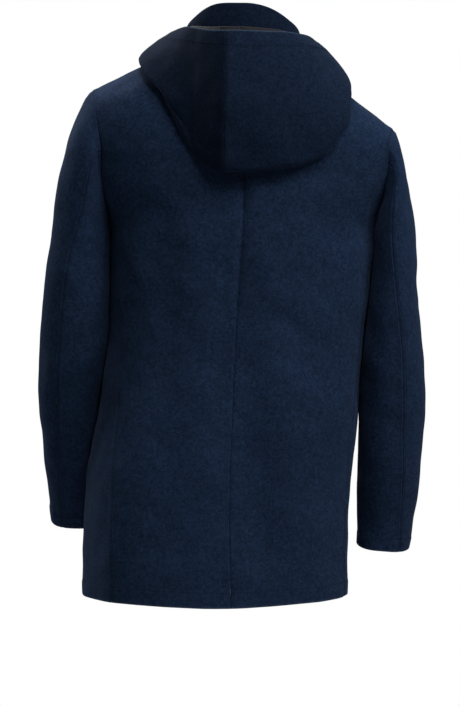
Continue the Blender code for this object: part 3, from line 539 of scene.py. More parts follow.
def foot_angle(x, behind):
    """The meridian, on the back or on the front, that crosses WALL_TOP at this x."""
    lean = np.radians(np.linspace(-88.0, 88.0, 705))
    turn = lean if behind else np.where(lean < 0, -math.pi - lean, math.pi - lean)
    foot = section(turn, np.full_like(turn, WALL_TOP), False)[0]
    found = np.interp(x, foot, lean)
    return found if behind else np.where(found < 0, -math.pi - found, math.pi - found)


def saddle(x, q, out):
    """A point over the shoulder: q runs up the back to ARC on the seam and down the front, moved out.

    The hood lies on this. It spans the body's finer creases.
    """
    behind = q <= ARC
    phi = np.where(behind, foot_angle(x, True), foot_angle(x, False))
    level = np.where(behind, WALL_TOP + q, WALL_TOP + 2 * ARC - q)
    normal = torso_normal(phi, np.minimum(level, WALL_TOP + ARC * 0.985), False)
    return torso(phi, level, False) + out * normal


def saddle_q(x, z, side):
    """The q of a height on the back (side 1) or the front (side -1)."""
    top = look(RIDGE_COLUMNS, RIDGE_ROWS, "x", "z", x)
    share = np.clip((z - WALL_TOP) / (top - WALL_TOP), 0.0, 1.0)
    power = np.where(side > 0, BACK_ROUND, FRONT_ROUND) / 2
    q = np.where(z < WALL_TOP, z - WALL_TOP, ARC * np.arcsin(share ** power) / (math.pi / 2))
    return np.where(side > 0, q, 2 * ARC - q)


def saddle_q_of_y(x, y):
    """The q of a point over the shoulder from its plan position."""
    behind = y > RIDGE_Y
    phi = np.where(behind, foot_angle(x, True), foot_angle(x, False))
    foot = section(phi, np.full_like(x, WALL_TOP), False)[1]
    share = np.clip((y - RIDGE_Y) / (foot - RIDGE_Y), 0.0, 1.0)
    power = np.where(behind, BACK_ROUND, FRONT_ROUND) / 2
    q = ARC * np.arccos(np.clip(share ** power, 0.0, 1.0)) / (math.pi / 2)
    return np.where(behind, q, 2 * ARC - q)


def hood_lines():
    """For each meridian: x and q of its neck end and of its lowest line."""
    angle = np.radians(column(HOOD_COLUMNS, HOOD_ROWS, "neck_angle"))
    depth = np.where(np.cos(angle) > 0, NECK_BACK, NECK_FRONT) + HOOD_NECK
    neck_x = (NECK_HALF + HOOD_NECK) * np.sin(angle)
    neck_q = saddle_q_of_y(neck_x, RIDGE_Y + depth * np.cos(angle))
    low_x = column(HOOD_COLUMNS, HOOD_ROWS, "low_x")
    low_z = column(HOOD_COLUMNS, HOOD_ROWS, "low_z")
    low_q = saddle_q(low_x, low_z, column(HOOD_COLUMNS, HOOD_ROWS, "low_side"))
    return neck_x, neck_q, low_x, low_q


HOOD_SPLIT = 0.36


def hood_face(s, t):
    """The hood's outer face: t 0 at the neck seam, down the back, round the bottom, the mouth edge at 1."""
    s, t = np.broadcast_arrays(np.asarray(s, float), np.asarray(t, float))
    keys = column(HOOD_COLUMNS, HOOD_ROWS, "s")
    read = lambda name: look(HOOD_COLUMNS, HOOD_ROWS, "s", name, s)
    neck_x, neck_q, low_x, low_q = (smooth_table(s, keys, line) for line in hood_lines())
    a = np.clip(t / HOOD_SPLIT, 0.0, 1.0)
    under = saddle(neck_x + (low_x - neck_x) * a, neck_q + (low_q - neck_q) * a, HOOD_CLEAR)
    low = saddle(low_x, low_q, HOOD_CLEAR)
    near = saddle(low_x + (neck_x - low_x) * 0.04, low_q + (neck_q - low_q) * 0.04, HOOD_CLEAR)
    off = unit(saddle(low_x, low_q, HOOD_CLEAR + 0.01) - low)
    heading = unit(unit(low - near) + 0.8 * off)
    mouth = np.stack([read("mouth_x"), read("mouth_y"), read("mouth_z")], axis=-1)
    b = np.clip((t - HOOD_SPLIT) / (1 - HOOD_SPLIT), 0.0, 1.0)[..., None]
    turn = np.radians(read("neck_angle"))
    tuck = read("tuck")
    rising = unit(np.stack([-tuck * np.sin(turn), -tuck * np.cos(turn), 1.0 + 0 * turn], axis=-1))
    rear = (
        low * (1 + 2 * b) * (1 - b) ** 2
        + heading * read("sag")[..., None] * b * (1 - b) ** 2
        + mouth * b * b * (3 - 2 * b)
        + rising * read("rise")[..., None] * b * b * (b - 1)
    )
    return np.where((t <= HOOD_SPLIT)[..., None], under, rear)


FACING_S = (-0.40, 0.40)   # the stretch of the hood's mouth whose facing shows
FACING_DEEP = 0.10         # share of the hood's depth that the facing lies against
FACING_UP = 0.007          # how far it stands above the mouth edge


# Finer creases of the body, along a line from 0 to 1, in the folds' own columns.
CREASE_ROWS = (
    (34.0, -0.300, 33.0, -0.620, 0.027, 0.0028),
    (10.0, -0.330, 8.0, -0.590, 0.019, -0.0015),
    (67.0, -0.340, 64.0, -0.580, 0.030, -0.0026),
    (-8.0, -0.215, -13.0, -0.340, 0.021, 0.0022),
    (0.0, -0.500, -34.0, -0.640, 0.020, 0.0021),
    (-50.0, -0.255, -52.0, -0.365, 0.026, -0.0022),
    (-22.0, -0.700, -60.0, -0.760, 0.034, -0.0020),
    (67.0, -0.284, 50.0, -0.338, 0.012, -0.0020),
    (63.0, -0.296, 49.0, -0.420, 0.015, 0.0017),
    (70.0, -0.330, 58.0, -0.372, 0.010, -0.0014),
    (-66.0, -0.280, -50.0, -0.342, 0.012, -0.0018),
    (-61.0, -0.300, -53.0, -0.430, 0.016, 0.0015),
    (28.0, -0.402, 50.0, -0.445, 0.013, -0.0013),
    (12.0, -0.560, 33.0, -0.604, 0.017, -0.0013),
    (-30.0, -0.418, -54.0, -0.458, 0.014, -0.0014),
    (-13.0, -0.640, -35.0, -0.706, 0.019, 0.0013),
    (40.0, -0.700, 45.0, -0.838, 0.018, -0.0022),
    (20.0, -0.725, 16.0, -0.838, 0.016, 0.0016),
    (-21.0, -0.735, -18.0, -0.838, 0.018, -0.0018),
    (-46.0, -0.700, -50.0, -0.838, 0.018, 0.0020),
    (116.0, -0.288, 140.0, -0.345, 0.014, -0.0022),
    (118.0, -0.312, 148.0, -0.425, 0.017, 0.0018),
    (108.0, -0.420, 134.0, -0.468, 0.015, -0.0016),
    (-116.0, -0.290, -136.0, -0.352, 0.013, -0.0021),
    (-112.0, -0.325, -140.0, -0.412, 0.016, 0.0017),
    (-104.0, -0.455, -138.0, -0.505, 0.016, -0.0016),
    (152.0, -0.600, 146.0, -0.838, 0.020, -0.0024),
    (118.0, -0.690, 121.0, -0.838, 0.018, 0.0020),
    (-158.0, -0.640, -153.0, -0.838, 0.019, 0.0021),
    (-122.0, -0.700, -118.0, -0.838, 0.018, -0.0022),
    (0.0, -0.180, 0.0, -0.400, 0.0065, -0.0024),
    (75.0, -0.430, 72.0, -0.810, 0.033, -0.0072),
    (47.0, -0.460, 46.0, -0.720, 0.026, 0.0022),
    (-30.0, -0.660, -34.0, -0.850, 0.060, -0.0036),
)
# Creases of the sleeves, in share down the arm and degrees round it.
ARM_CREASE_COLUMNS = ("share_0", "theta_0", "share_1", "theta_1", "width", "height")
ARM_CREASES_LEFT = (
    (0.10, 62.0, 0.31, 78.0, 0.018, -0.0020),
    (0.14, 18.0, 0.36, 34.0, 0.020, 0.0016),
    (0.30, 128.0, 0.42, 96.0, 0.014, -0.0017),
    (0.43, 150.0, 0.53, 98.0, 0.016, -0.0020),
    (0.48, 150.0, 0.58, 92.0, 0.017, 0.0017),
    (0.50, 205.0, 0.545, 292.0, 0.013, -0.0030),
    (0.555, 200.0, 0.59, 284.0, 0.012, -0.0026),
    (0.525, 208.0, 0.565, 288.0, 0.012, 0.0022),
    (0.61, 212.0, 0.64, 296.0, 0.014, -0.0021),
    (0.47, 300.0, 0.52, 346.0, 0.016, -0.0016),
    (0.70, 250.0, 0.86, 262.0, 0.018, -0.0018),
    (0.84, 58.0, 1.00, 82.0, 0.016, -0.0016),
    (0.88, 150.0, 1.00, 138.0, 0.020, 0.0016),
    (0.86, 318.0, 1.00, 330.0, 0.018, -0.0015),
)
ARM_CREASES_RIGHT = (
    (0.08, 66.0, 0.27, 82.0, 0.020, -0.0019),
    (0.15, 24.0, 0.38, 36.0, 0.018, 0.0018),
    (0.26, 120.0, 0.40, 94.0, 0.015, -0.0018),
    (0.40, 146.0, 0.51, 100.0, 0.015, -0.0018),
    (0.47, 152.0, 0.56, 100.0, 0.018, 0.0018),
    (0.48, 206.0, 0.53, 290.0, 0.014, -0.0028),
    (0.545, 202.0, 0.575, 288.0, 0.012, -0.0027),
    (0.515, 206.0, 0.55, 284.0, 0.012, 0.0022),
    (0.60, 214.0, 0.63, 290.0, 0.013, -0.0021),
    (0.50, 302.0, 0.55, 348.0, 0.017, -0.0015),
    (0.72, 246.0, 0.88, 258.0, 0.018, -0.0018),
    (0.82, 66.0, 1.00, 92.0, 0.018, -0.0018),
    (0.90, 154.0, 1.00, 140.0, 0.020, 0.0017),
    (0.85, 316.0, 1.00, 328.0, 0.017, -0.0015),
)
# How far the hood stands out from its plain form: its keel along the centre seam and flatter cheeks.
KEEL_COLUMNS = ("s", "out")
KEEL_ROWS = (
    (-1.00, 0.0000),
    (-0.55, 0.0000),
    (-0.42, -0.0012),
    (-0.28, -0.0012),
    (-0.16, 0.0012),
    (-0.07, 0.0048),
    (0.00, 0.0076),
    (0.06, 0.0030),
    (0.13, -0.0026),
    (0.22, -0.0066),
    (0.32, -0.0062),
    (0.44, -0.0022),
    (0.56, 0.0000),
    (1.00, 0.0000),
)
# How far the hood's rear wall leans in to the back, by level.
LEAN_COLUMNS = ("z", "out")
LEAN_ROWS = (
    (-0.230, -0.0040),
    (-0.205, -0.0055),
    (-0.195, -0.0080),
    (-0.180, -0.0080),
    (-0.160, -0.0055),
    (-0.135, -0.0025),
    (-0.105, 0.0000),
    (0.050, 0.0000),
)
# Creases of the hood, in its meridian s and its depth t.
HOOD_CREASE_COLUMNS = ("s_0", "t_0", "s_1", "t_1", "width", "height")
HOOD_CREASES = (
    (0.00, 0.52, 0.00, 0.97, 0.015, 0.0028),
    (0.17, 0.60, 0.26, 0.86, 0.024, -0.0036),
    (0.33, 0.52, 0.24, 0.66, 0.016, 0.0020),
    (0.44, 0.60, 0.40, 0.92, 0.020, -0.0022),
    (0.60, 0.62, 0.52, 0.94, 0.018, 0.0020),
    (0.74, 0.58, 0.70, 0.94, 0.018, -0.0018),
    (-0.13, 0.56, -0.20, 0.76, 0.022, -0.0020),
    (-0.28, 0.62, -0.24, 0.92, 0.024, 0.0022),
    (-0.42, 0.56, -0.38, 0.90, 0.019, -0.0022),
    (-0.58, 0.64, -0.52, 0.94, 0.018, 0.0021),
    (-0.72, 0.58, -0.70, 0.94, 0.018, -0.0018),
)
# What each sewn piece was cut to, flat: its width, length and area in metres.
CUT_COLUMNS = ("piece", "width", "length", "area")
CUT_ROWS = (
    ("back_left", 0.29, 0.88, 0.175),
    ("back_right", 0.30, 0.87, 0.184),
    ("front_left", 0.43, 0.93, 0.278),
    ("front_right", 0.44, 0.90, 0.261),
    ("sleeve_left_upper", 0.33, 0.67, 0.132),
    ("sleeve_left_under", 0.23, 0.59, 0.082),
    ("sleeve_right_upper", 0.29, 0.64, 0.127),
    ("sleeve_right_under", 0.20, 0.58, 0.078),
    ("collar", 0.60, 0.06, 0.019),
    ("hood_left", 0.45, 0.40, 0.074),
    ("hood_right", 0.50, 0.42, 0.104),
    ("hood_facing", 0.27, 0.036, 0.009),
)


class CoatSizes(bpy.types.PropertyGroup):
    """The coat's sizes that a maker would change."""

    grid_step: FloatProperty(
        name="Mesh step", description="Distance between the cloth's mesh points",
        default=0.0038, min=0.001, unit="LENGTH")
    rim: FloatProperty(
        name="Edge rounding", description="Radius of the cloth's rounded edges",
        default=0.0013, min=0.0002, unit="LENGTH")
    seam_stitch: FloatProperty(
        name="Topstitch from seam", description="Distance from a seam to the topstitch beside it",
        default=0.0035, min=0.001, unit="LENGTH")
    hem_stitch: FloatProperty(
        name="Hem depth", description="Distance from the hem's edge to its stitch line",
        default=0.022, min=0.004, unit="LENGTH")
    cuff_stitch: FloatProperty(
        name="Cuff depth", description="Distance from the sleeve's end to its stitch line",
        default=0.020, min=0.004, unit="LENGTH")
    mouth_stitch: FloatProperty(
        name="Hood mouth depth", description="Distance from the hood's mouth to its stitch line",
        default=0.025, min=0.004, unit="LENGTH")
    edge_stitch: FloatProperty(
        name="Edge stitch", description="Distance from the front and collar edges to their stitch",
        default=0.007, min=0.002, unit="LENGTH")
    stitch_pitch: FloatProperty(
        name="Stitch pitch", description="Distance from one stitch to the next",
        default=0.0040, min=0.001, unit="LENGTH")
    stitch_length: FloatProperty(
        name="Stitch length", description="Length of thread that shows in a stitch",
        default=0.0030, min=0.001, unit="LENGTH")
    thread: FloatProperty(
        name="Thread", description="Thickness of the sewing thread",
        default=0.0007, min=0.0002, unit="LENGTH")
    button_radius: FloatProperty(
        name="Button radius", description="Radius of a front button",
        default=0.0125, min=0.004, unit="LENGTH")
    button_height: FloatProperty(
        name="Button height", description="Thickness of a front button",
        default=0.0042, min=0.001, unit="LENGTH")


class CoatColours(bpy.types.PropertyGroup):
    """The coat's colours."""

    wool: FloatVectorProperty(
        name="Wool", description="Main colour of the melton", subtype="COLOR",
        size=3, default=(0.0071, 0.0146, 0.0336), min=0.0, max=1.0)
    fibre: FloatVectorProperty(
        name="Light fibres", description="Colour of the lighter fibres in the nap", subtype="COLOR",
        size=3, default=(0.026, 0.044, 0.080), min=0.0, max=1.0)
    # Colour of the free edges: wear and a painted highlight.
    edge: FloatVectorProperty(
        name="Edge", description="Colour of the wool's rubbed edges", subtype="COLOR",
        size=3, default=(0.030, 0.046, 0.074), min=0.0, max=1.0)
    charcoal: FloatVectorProperty(
        name="Charcoal", description="Colour of the hood's facing", subtype="COLOR",
        size=3, default=(0.0060, 0.0058, 0.0074), min=0.0, max=1.0)
    thread: FloatVectorProperty(
        name="Thread", description="Colour of the sewing thread", subtype="COLOR",
        size=3, default=(0.0056, 0.0120, 0.0270), min=0.0, max=1.0)
    button: FloatVectorProperty(
        name="Button", description="Colour of the buttons", subtype="COLOR",
        size=3, default=(0.008, 0.010, 0.018), min=0.0, max=1.0)
    floor: FloatVectorProperty(
        name="Floor", description="Colour of the floor", subtype="COLOR",
        size=3, default=(0.56, 0.56, 0.56), min=0.0, max=1.0)


MADE = {}   # each finished panel's outer grid, for the sewing that lies on it


def sizes():
    return bpy.context.scene.coat_sizes


def colours():
    return bpy.context.scene.coat_colours


def along_creases(columns, rows, first, second, scale_first, scale_second):
    """Height of soft creases drawn as lines on a surface with two measures."""
    total = np.zeros(np.broadcast(first, second).shape)
    for row in rows:
        a0, b0, a1, b1, width, height = (dict(zip(columns, row))[name] for name in columns)
        dx, dy = (a1 - a0) * scale_first, (b1 - b0) * scale_second
        px, py = (first - a0) * scale_first, (second - b0) * scale_second
        share = (px * dx + py * dy) / (dx * dx + dy * dy)
        along = np.clip(share, 0.0, 1.0)
        away = np.hypot(px - along * dx, py - along * dy)
        fade = 0.55 + 0.45 * np.cos(math.pi * (along - 0.45))
        total += height * fade * np.exp(-((away / width) ** 2))
    return total


def arm_creases(side, share, theta):
    """Creases of a sleeve, and its fullness against the body. The angle is taken both ways round."""
    rows = ARM_CREASES_LEFT if side > 0 else ARM_CREASES_RIGHT
    turn = theta % 360.0
    total = 0.0
    for shift in (-360.0, 0.0, 360.0):
        total = total + along_creases(ARM_CREASE_COLUMNS, rows, share, turn + shift, 0.68, 0.0010)
    near_body = np.exp(-(((turn - 180.0) / 48.0) ** 2)) * ease((share - 0.06) / 0.10)
    return total * ease(share / 0.06) + 0.0042 * near_body * ease((0.66 - share) / 0.16)


WAVE_COUNT = 26
WAVE_SEED = 7


def unevenness(points, low=0.030, high=0.110, height=0.00034):
    """The small unevenness of thick cloth: waves in space, so that it runs on across the seams."""
    chance = np.random.default_rng(WAVE_SEED)
    total = np.zeros(points.shape[:-1])
    for _ in range(WAVE_COUNT):
        way = chance.normal(size=3)
        way /= np.linalg.norm(way)
        length = low * (high / low) ** chance.random()
        phase = chance.random() * 2 * math.pi
        total += height * (length / high) * np.sin(points @ way / length * 2 * math.pi + phase)
    return total


def pucker(run, seed, height):
    """Small puckers along a seam, from a few waves of unlike length."""
    chance = np.random.default_rng(seed)
    total = np.zeros_like(run)
    for length in (0.0078, 0.0113, 0.0171, 0.0290):
        total += np.sin(run / length * 2 * math.pi + chance.random() * 2 * math.pi)
    return total * height / 2.2


def arc(points, axis):
    steps = np.linalg.norm(np.diff(points, axis=axis), axis=2)
    start = np.zeros((points.shape[0], 1)) if axis == 1 else np.zeros((1, points.shape[1]))
    return np.concatenate([start, np.cumsum(steps, axis=axis)], axis=axis)


NEAR_EDGE = (0.0, 0.0004, 0.0010, 0.0018, 0.0028, 0.0040)
NEAR_STITCH = (-0.0021, -0.0014, -0.0007, 0.0, 0.0007, 0.0014, 0.0021)


def places(length, step, first_stitch, last_stitch):
    """Places along a length: close together at its ends and at its stitch lines, a step apart between."""
    marks = set(NEAR_EDGE) | {length - d for d in NEAR_EDGE}
    marks |= {first_stitch + d for d in NEAR_STITCH if first_stitch}
    marks |= {length - last_stitch + d for d in NEAR_STITCH if last_stitch}
    made = [0.0]
    for mark in sorted(m for m in marks if 0.0 < m <= length):
        gap = mark - made[-1]
        if gap < 0.00028 and mark < length:
            continue
        count = max(1, round(gap / step))
        made += [made[-1] + gap / count] if count == 1 else list(
            np.linspace(made[-1], mark, count + 1)[1:])
    return np.array(made)


def settled_line(run, now, wanted, low, high, common, pins):
    """New parameters along one line of a grid.

    Near the line's ends its points lie at their own distances. Between, they follow the common
    parameters, so that lines across the grid stay smooth, and the pinned ones stay where they are.
    """
    total = run[-1]
    half = np.interp(pins[0], now, run) if pins else total * low / (low + high)
    low_fit, high_fit = min(1.0, 0.9 * half / low), min(1.0, 0.9 * (total - half) / high)
    start, end = np.interp([low * low_fit, total - high * high_fit], run, now)
    from_start, from_end = np.interp([low, wanted[-1] - high], wanted, common)
    held = [pin for pin in pins if max(start, from_start) < pin < min(end, from_end)]
    middle = np.interp(common, [from_start, *held, from_end], [start, *held, end])
    first = np.interp(wanted * low_fit, run, now)
    last = np.interp(total - (wanted[-1] - wanted) * high_fit, run, now)
    made = np.where(wanted <= low, first, middle)
    return np.where(wanted >= wanted[-1] - high, last, made)


def common_places(face, wanted, other, upward, pins):
    """Parameters along one way of a grid that keep its longest steps alike, the pins among them."""
    fine = np.linspace(0.0, 1.0, 4 * len(wanted))
    u, v = np.meshgrid(other, fine) if upward else np.meshgrid(fine, other)
    points = face(u, v)
    steps = np.linalg.norm(np.diff(points, axis=0 if upward else 1), axis=2)
    longest = steps.max(axis=1 if upward else 0)
    run = np.concatenate([[0.0], np.cumsum(longest)])
    made = np.interp(wanted / wanted[-1], run / run[-1], fine)
    for pin in pins:
        made[np.abs(made - pin).argmin()] = pin
    return made


def settle(face, across, up, margins, pins):
    """The parameters of a grid whose columns and rows lie at their distances from the edges."""
    few = np.linspace(0.0, 1.0, 9)
    columns = common_places(face, across, few, False, ())
    rows = common_places(face, up, few, True, pins)
    u, v = (made.copy() for made in np.meshgrid(columns, rows))
    first, last, bottom, top = margins
    run = arc(face(u, v), 1)
    for i in range(len(u)):
        u[i] = settled_line(run[i], u[i], across, first, last, columns, ())
    run = arc(face(u, v), 0)
    for j in range(v.shape[1]):
        v[:, j] = settled_line(run[:, j], v[:, j], up, bottom, top, rows, pins)
    return u, v


def outward_edges(points, gaps):
    """Pulls a grid's edges in by their gaps, and gives the four edges' outward directions."""
    first, last, bottom, top = gaps
    aim = [unit(points[:, 0] - points[:, 3]), unit(points[:, -1] - points[:, -4])]
    rise = [unit(points[0] - points[3]), unit(points[-1] - points[-4])]
    made = points.copy()
    reach = 0.006
    near = [arc(points, 1), arc(points[:, ::-1], 1)[:, ::-1]]
    tall = [arc(points, 0), arc(points[::-1], 0)[::-1]]
    for gap, way, away in ((first, aim[0], near[0]), (last, aim[1], near[1])):
        made -= way[:, None, :] * (gap * np.clip(1 - away / reach, 0, 1))[..., None]
    for gap, way, away in ((bottom, rise[0], tall[0]), (top, rise[1], tall[1])):
        made -= way[None, :, :] * (gap * np.clip(1 - away / reach, 0, 1))[..., None]
    return made, aim, rise


RIM_STEPS = 4


def shell(name, outer, inner, edges, rim, uv, shades):
    """A closed cloth shell from an outer and an inner grid, its edges rounded between them."""
    rows, columns = outer.shape[:2]
    aim, rise = edges
    count = rows * columns
    index = np.arange(count).reshape(rows, columns)
    loop = np.concatenate([
        index[0, :], index[1:, -1], index[-1, -2::-1], index[-2:0:-1, 0]])
    way = np.zeros((rows, columns, 3))
    way[0] += rise[0]
    way[-1] += rise[1]
    way[:, 0] += aim[0]
    way[:, -1] += aim[1]
    way = way.reshape(-1, 3)[loop]
    top, low = outer.reshape(-1, 3)[loop], inner.reshape(-1, 3)[loop]
    middle, half = (top + low) / 2, (top - low) / 2
    rings, ring_index = [], [loop]
    for k in range(1, RIM_STEPS):
        turn = math.pi * k / RIM_STEPS
        rings.append(middle + half * math.cos(turn) + way * rim * math.sin(turn))
        ring_index.append(2 * count + (k - 1) * len(loop) + np.arange(len(loop)))
    ring_index.append(loop + count)
    points = np.concatenate([outer.reshape(-1, 3), inner.reshape(-1, 3)] + rings)
    a, b, c, d = index[:-1, :-1], index[:-1, 1:], index[1:, 1:], index[1:, :-1]
    quads = np.stack([a, b, c, d], axis=-1).reshape(-1, 4)
    faces = [quads, quads[:, ::-1] + count]
    for low_ring, high_ring in zip(ring_index[:-1], ring_index[1:]):
        after_low, after_high = np.roll(low_ring, -1), np.roll(high_ring, -1)
        faces.append(np.stack([after_low, low_ring, high_ring, after_high], axis=-1))
    faces = np.concatenate(faces)
    corner = points[faces]
    volume = np.einsum("ij,ij->", corner[:, 0], np.cross(corner[:, 1], corner[:, 2]))
    volume += np.einsum("ij,ij->", corner[:, 0], np.cross(corner[:, 2], corner[:, 3]))
    if volume < 0:
        faces = faces[:, ::-1]
    mesh = bpy.data.meshes.new(name)
    mesh.from_pydata(points.tolist(), [], faces.tolist())
    obj = bpy.data.objects.new(name, mesh)
    bpy.context.scene.collection.objects.link(obj)
    mesh.polygons.foreach_set("use_smooth", [True] * len(mesh.polygons))
    flat = uv.reshape(-1, 2)
    spots = np.concatenate([flat, flat + (1.0, 0.0)] + [flat[loop]] * (RIM_STEPS - 1))
    corners = np.empty(len(mesh.loops), np.int32)
    mesh.loops.foreach_get("vertex_index", corners)
    layer = mesh.uv_layers.new(name="cut")
    layer.data.foreach_set("uv", spots[corners].astype(np.float32).ravel())
    for shade, (value, on_rim) in shades.items():
        made = mesh.attributes.new(shade, "FLOAT", "POINT")
        value = value.reshape(-1)
        full = np.concatenate([value, value * 0.0] + [value[loop] * on_rim] * (RIM_STEPS - 1))
        made.data.foreach_set("value", full.astype(np.float32))
    mesh.update()
    return obj


# How round each kind of edge is, as a share of the rim, and half the gap left at a sewn one.
EDGE_ROUND = {"seam": 0.55, "plain": 0.45, "set in": 0.55, "hem": 1.0, "free": 1.0, "bare": 1.0}
HAIRLINE = 0.00003


def edge_relief(away, run, kind, stitch, seed):
    """Height of the cloth near an edge: what is turned under it, and its stitch groove and puckers."""
    if kind == "bare":
        return 0.0 * away, 0.0 * away
    valley = -0.0007 * np.exp(-((away / 0.0015) ** 2))
    if kind == "plain":
        return 0.0 * away, valley + pucker(run, seed, 0.00022) * np.exp(-((away / 0.007) ** 2))
    sewn = kind in ("seam", "set in")
    turned = 0.00060 if sewn else 0.00065
    width = stitch + (0.0018 if sewn else 0.0010)
    plateau = turned * ease((width - away) / 0.0030 + 0.5)
    dimple = 1.0 + 0.30 * np.cos(run / 0.0040 * 2 * math.pi)
    groove = -0.00058 * dimple * np.exp(-(((away - stitch) / 0.00095) ** 2))
    strength = 0.00022 if sewn else 0.00034
    reach = 0.006 + stitch * 0.5
    waves = pucker(run, seed, strength) * np.exp(-(((away - stitch * 0.8) / reach) ** 2))
    return plateau, groove + waves + (valley if kind == "seam" else 0.0)


def cloth(
        name, face, normal, size, edges, relief=None, after=None, thickness=CLOTH, step=None, pins=()):
    """One sewn piece: face(u, v) and normal(u, v) give its outer side, edges say how each side is finished.

    edges has a row for the first column, the last column, the bottom and the top row: kind and stitch.
    """
    step = step or sizes().grid_step
    (kind_a, stitch_a), (kind_b, stitch_b), (kind_c, stitch_c), (kind_d, stitch_d) = edges
    across = places(size[0], step, stitch_a, stitch_b)
    up = places(size[1], step, stitch_c, stitch_d)
    margins = [
        min(0.006 + stitch, 0.45 * length)
        for stitch, length in (
            (stitch_a, size[0]), (stitch_b, size[0]), (stitch_c, size[1]), (stitch_d, size[1]))]
    u, v = settle(face, across, up, margins, pins)
    points, normals = face(u, v), normal(u, v)
    left, tall = arc(points, 1), arc(points, 0)
    right, high = left[:, -1:] - left, tall[-1:] - tall
    seed = sum(ord(letter) for letter in name)
    ripple = unevenness(points)
    if relief is not None:
        ripple = ripple + relief(u, v)
    height = ripple.copy()
    sides = ((left, tall, kind_a, stitch_a), (right, tall, kind_b, stitch_b),
             (tall, left, kind_c, stitch_c), (high, left, kind_d, stitch_d))
    turned = np.zeros_like(height)
    for k, (away, run, kind, stitch) in enumerate(sides):
        plateau, detail = edge_relief(away, run, kind, stitch, seed + k)
        turned = np.maximum(turned, plateau)
        height += detail
    height += turned
    if kind_c == "set in":
        height *= ease(tall / 0.0045)
    rim = min(sizes().rim, thickness / 2)
    bulge = [EDGE_ROUND[kind] for kind in (kind_a, kind_b, kind_c, kind_d)]
    gaps = [0.0 if kind == "set in" else rim * share + (HAIRLINE if kind in ("seam", "plain") else 0.0)
            for kind, share in zip((kind_a, kind_b, kind_c, kind_d), bulge)]
    flat, aim, rise = outward_edges(points, gaps)
    aim, rise = [aim[0] * bulge[0], aim[1] * bulge[1]], [rise[0] * bulge[2], rise[1] * bulge[3]]
    outer = flat + normals * height[..., None]
    inner = flat - normals * (thickness - ripple)[..., None]
    if after is not None:
        outer, inner = after(outer, inner)
    # Lighter free edges: wear and a painted highlight where an edge catches the light.
    free = [away for away, _, kind, _ in sides if kind in ("hem", "free")]
    worn_and_lit = np.zeros_like(height)
    for away in free:
        worn_and_lit = np.maximum(worn_and_lit, np.exp(-((away / 0.0016) ** 2)))
    # Painted shade along the stitch lines, where their grooves lie in shade.
    pressed = np.zeros_like(height)
    for away, _, kind, stitch in sides:
        if stitch:
            pressed = np.maximum(pressed, np.exp(-(((away - stitch) / 0.0012) ** 2)))
    obj = shell(
        name, outer, inner, (aim, rise), rim, np.stack([left, tall], axis=-1),
        {"worn_and_lit": (worn_and_lit, 1.0), "pressed": (pressed, 0.0)})
    MADE[name] = {
        "points": outer, "normals": normals, "first": left, "last": right,
        "bottom": tall, "top": high, "area": float(quad_area(points)),
    }
    return obj


def quad_area(points):
    a = points[1:, 1:] - points[:-1, :-1]
    b = points[1:, :-1] - points[:-1, 1:]
    return np.linalg.norm(np.cross(a, b), axis=-1).sum() / 2


def declare(obj, rests_on):
    """Places a finished panel in the frame and notes what it hangs on. The sewing comes later."""
    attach(obj, "root")
    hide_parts(obj.name.replace("cloth_", ""))
    MADE[obj.name]["rests_on"] = rests_on


# Materials.


def shader_nodes(name):
    """A new material and a helper that adds nodes to it."""
    material = bpy.data.materials.new(name)
    material.use_nodes = True
    tree = material.node_tree
    shader = tree.nodes["Principled BSDF"]

    def add(kind, links=None, **values):
        node = tree.nodes.new("ShaderNode" + kind)
        for key, value in values.items():
            if key.startswith("in_"):
                socket = node.inputs[key[3:].replace("_", " ")]
                socket.default_value = value
            else:
                setattr(node, key, value)
        for key, source in (links or {}).items():
            tree.links.new(source, node.inputs[key])
        return node

    return material, tree, shader, add


def noise(add, place, scale, detail, rough=0.5):
    return add(
        "TexNoise", {"Vector": place}, in_Scale=scale, in_Detail=detail,
        in_Roughness=rough).outputs["Fac"]


def ranged(add, value, low, high, to_low, to_high):
    node = add("MapRange", {"Value": value})
    for socket, number in (("From Min", low), ("From Max", high), ("To Min", to_low), ("To Max", to_high)):
        node.inputs[socket].default_value = number
    return node.outputs["Result"]


def times(add, first, second, operation="MULTIPLY"):
    node = add("Math", {0: first}, operation=operation)
    if isinstance(second, (int, float)):
        node.inputs[1].default_value = second
    else:
        node.id_data.links.new(second, node.inputs[1])
    return node.outputs["Value"]


def blend_colour(add, share, first, second, way="MIX"):
    node = add("Mix", data_type="RGBA", blend_type=way)
    for socket, value in ((0, share), (6, first), (7, second)):
        if hasattr(value, "links"):
            node.id_data.links.new(value, node.inputs[socket])
        elif socket == 0:
            node.inputs[0].default_value = value
        else:
            node.inputs[socket].default_value = (*tuple(value)[:3], 1.0)
    return node.outputs[2]


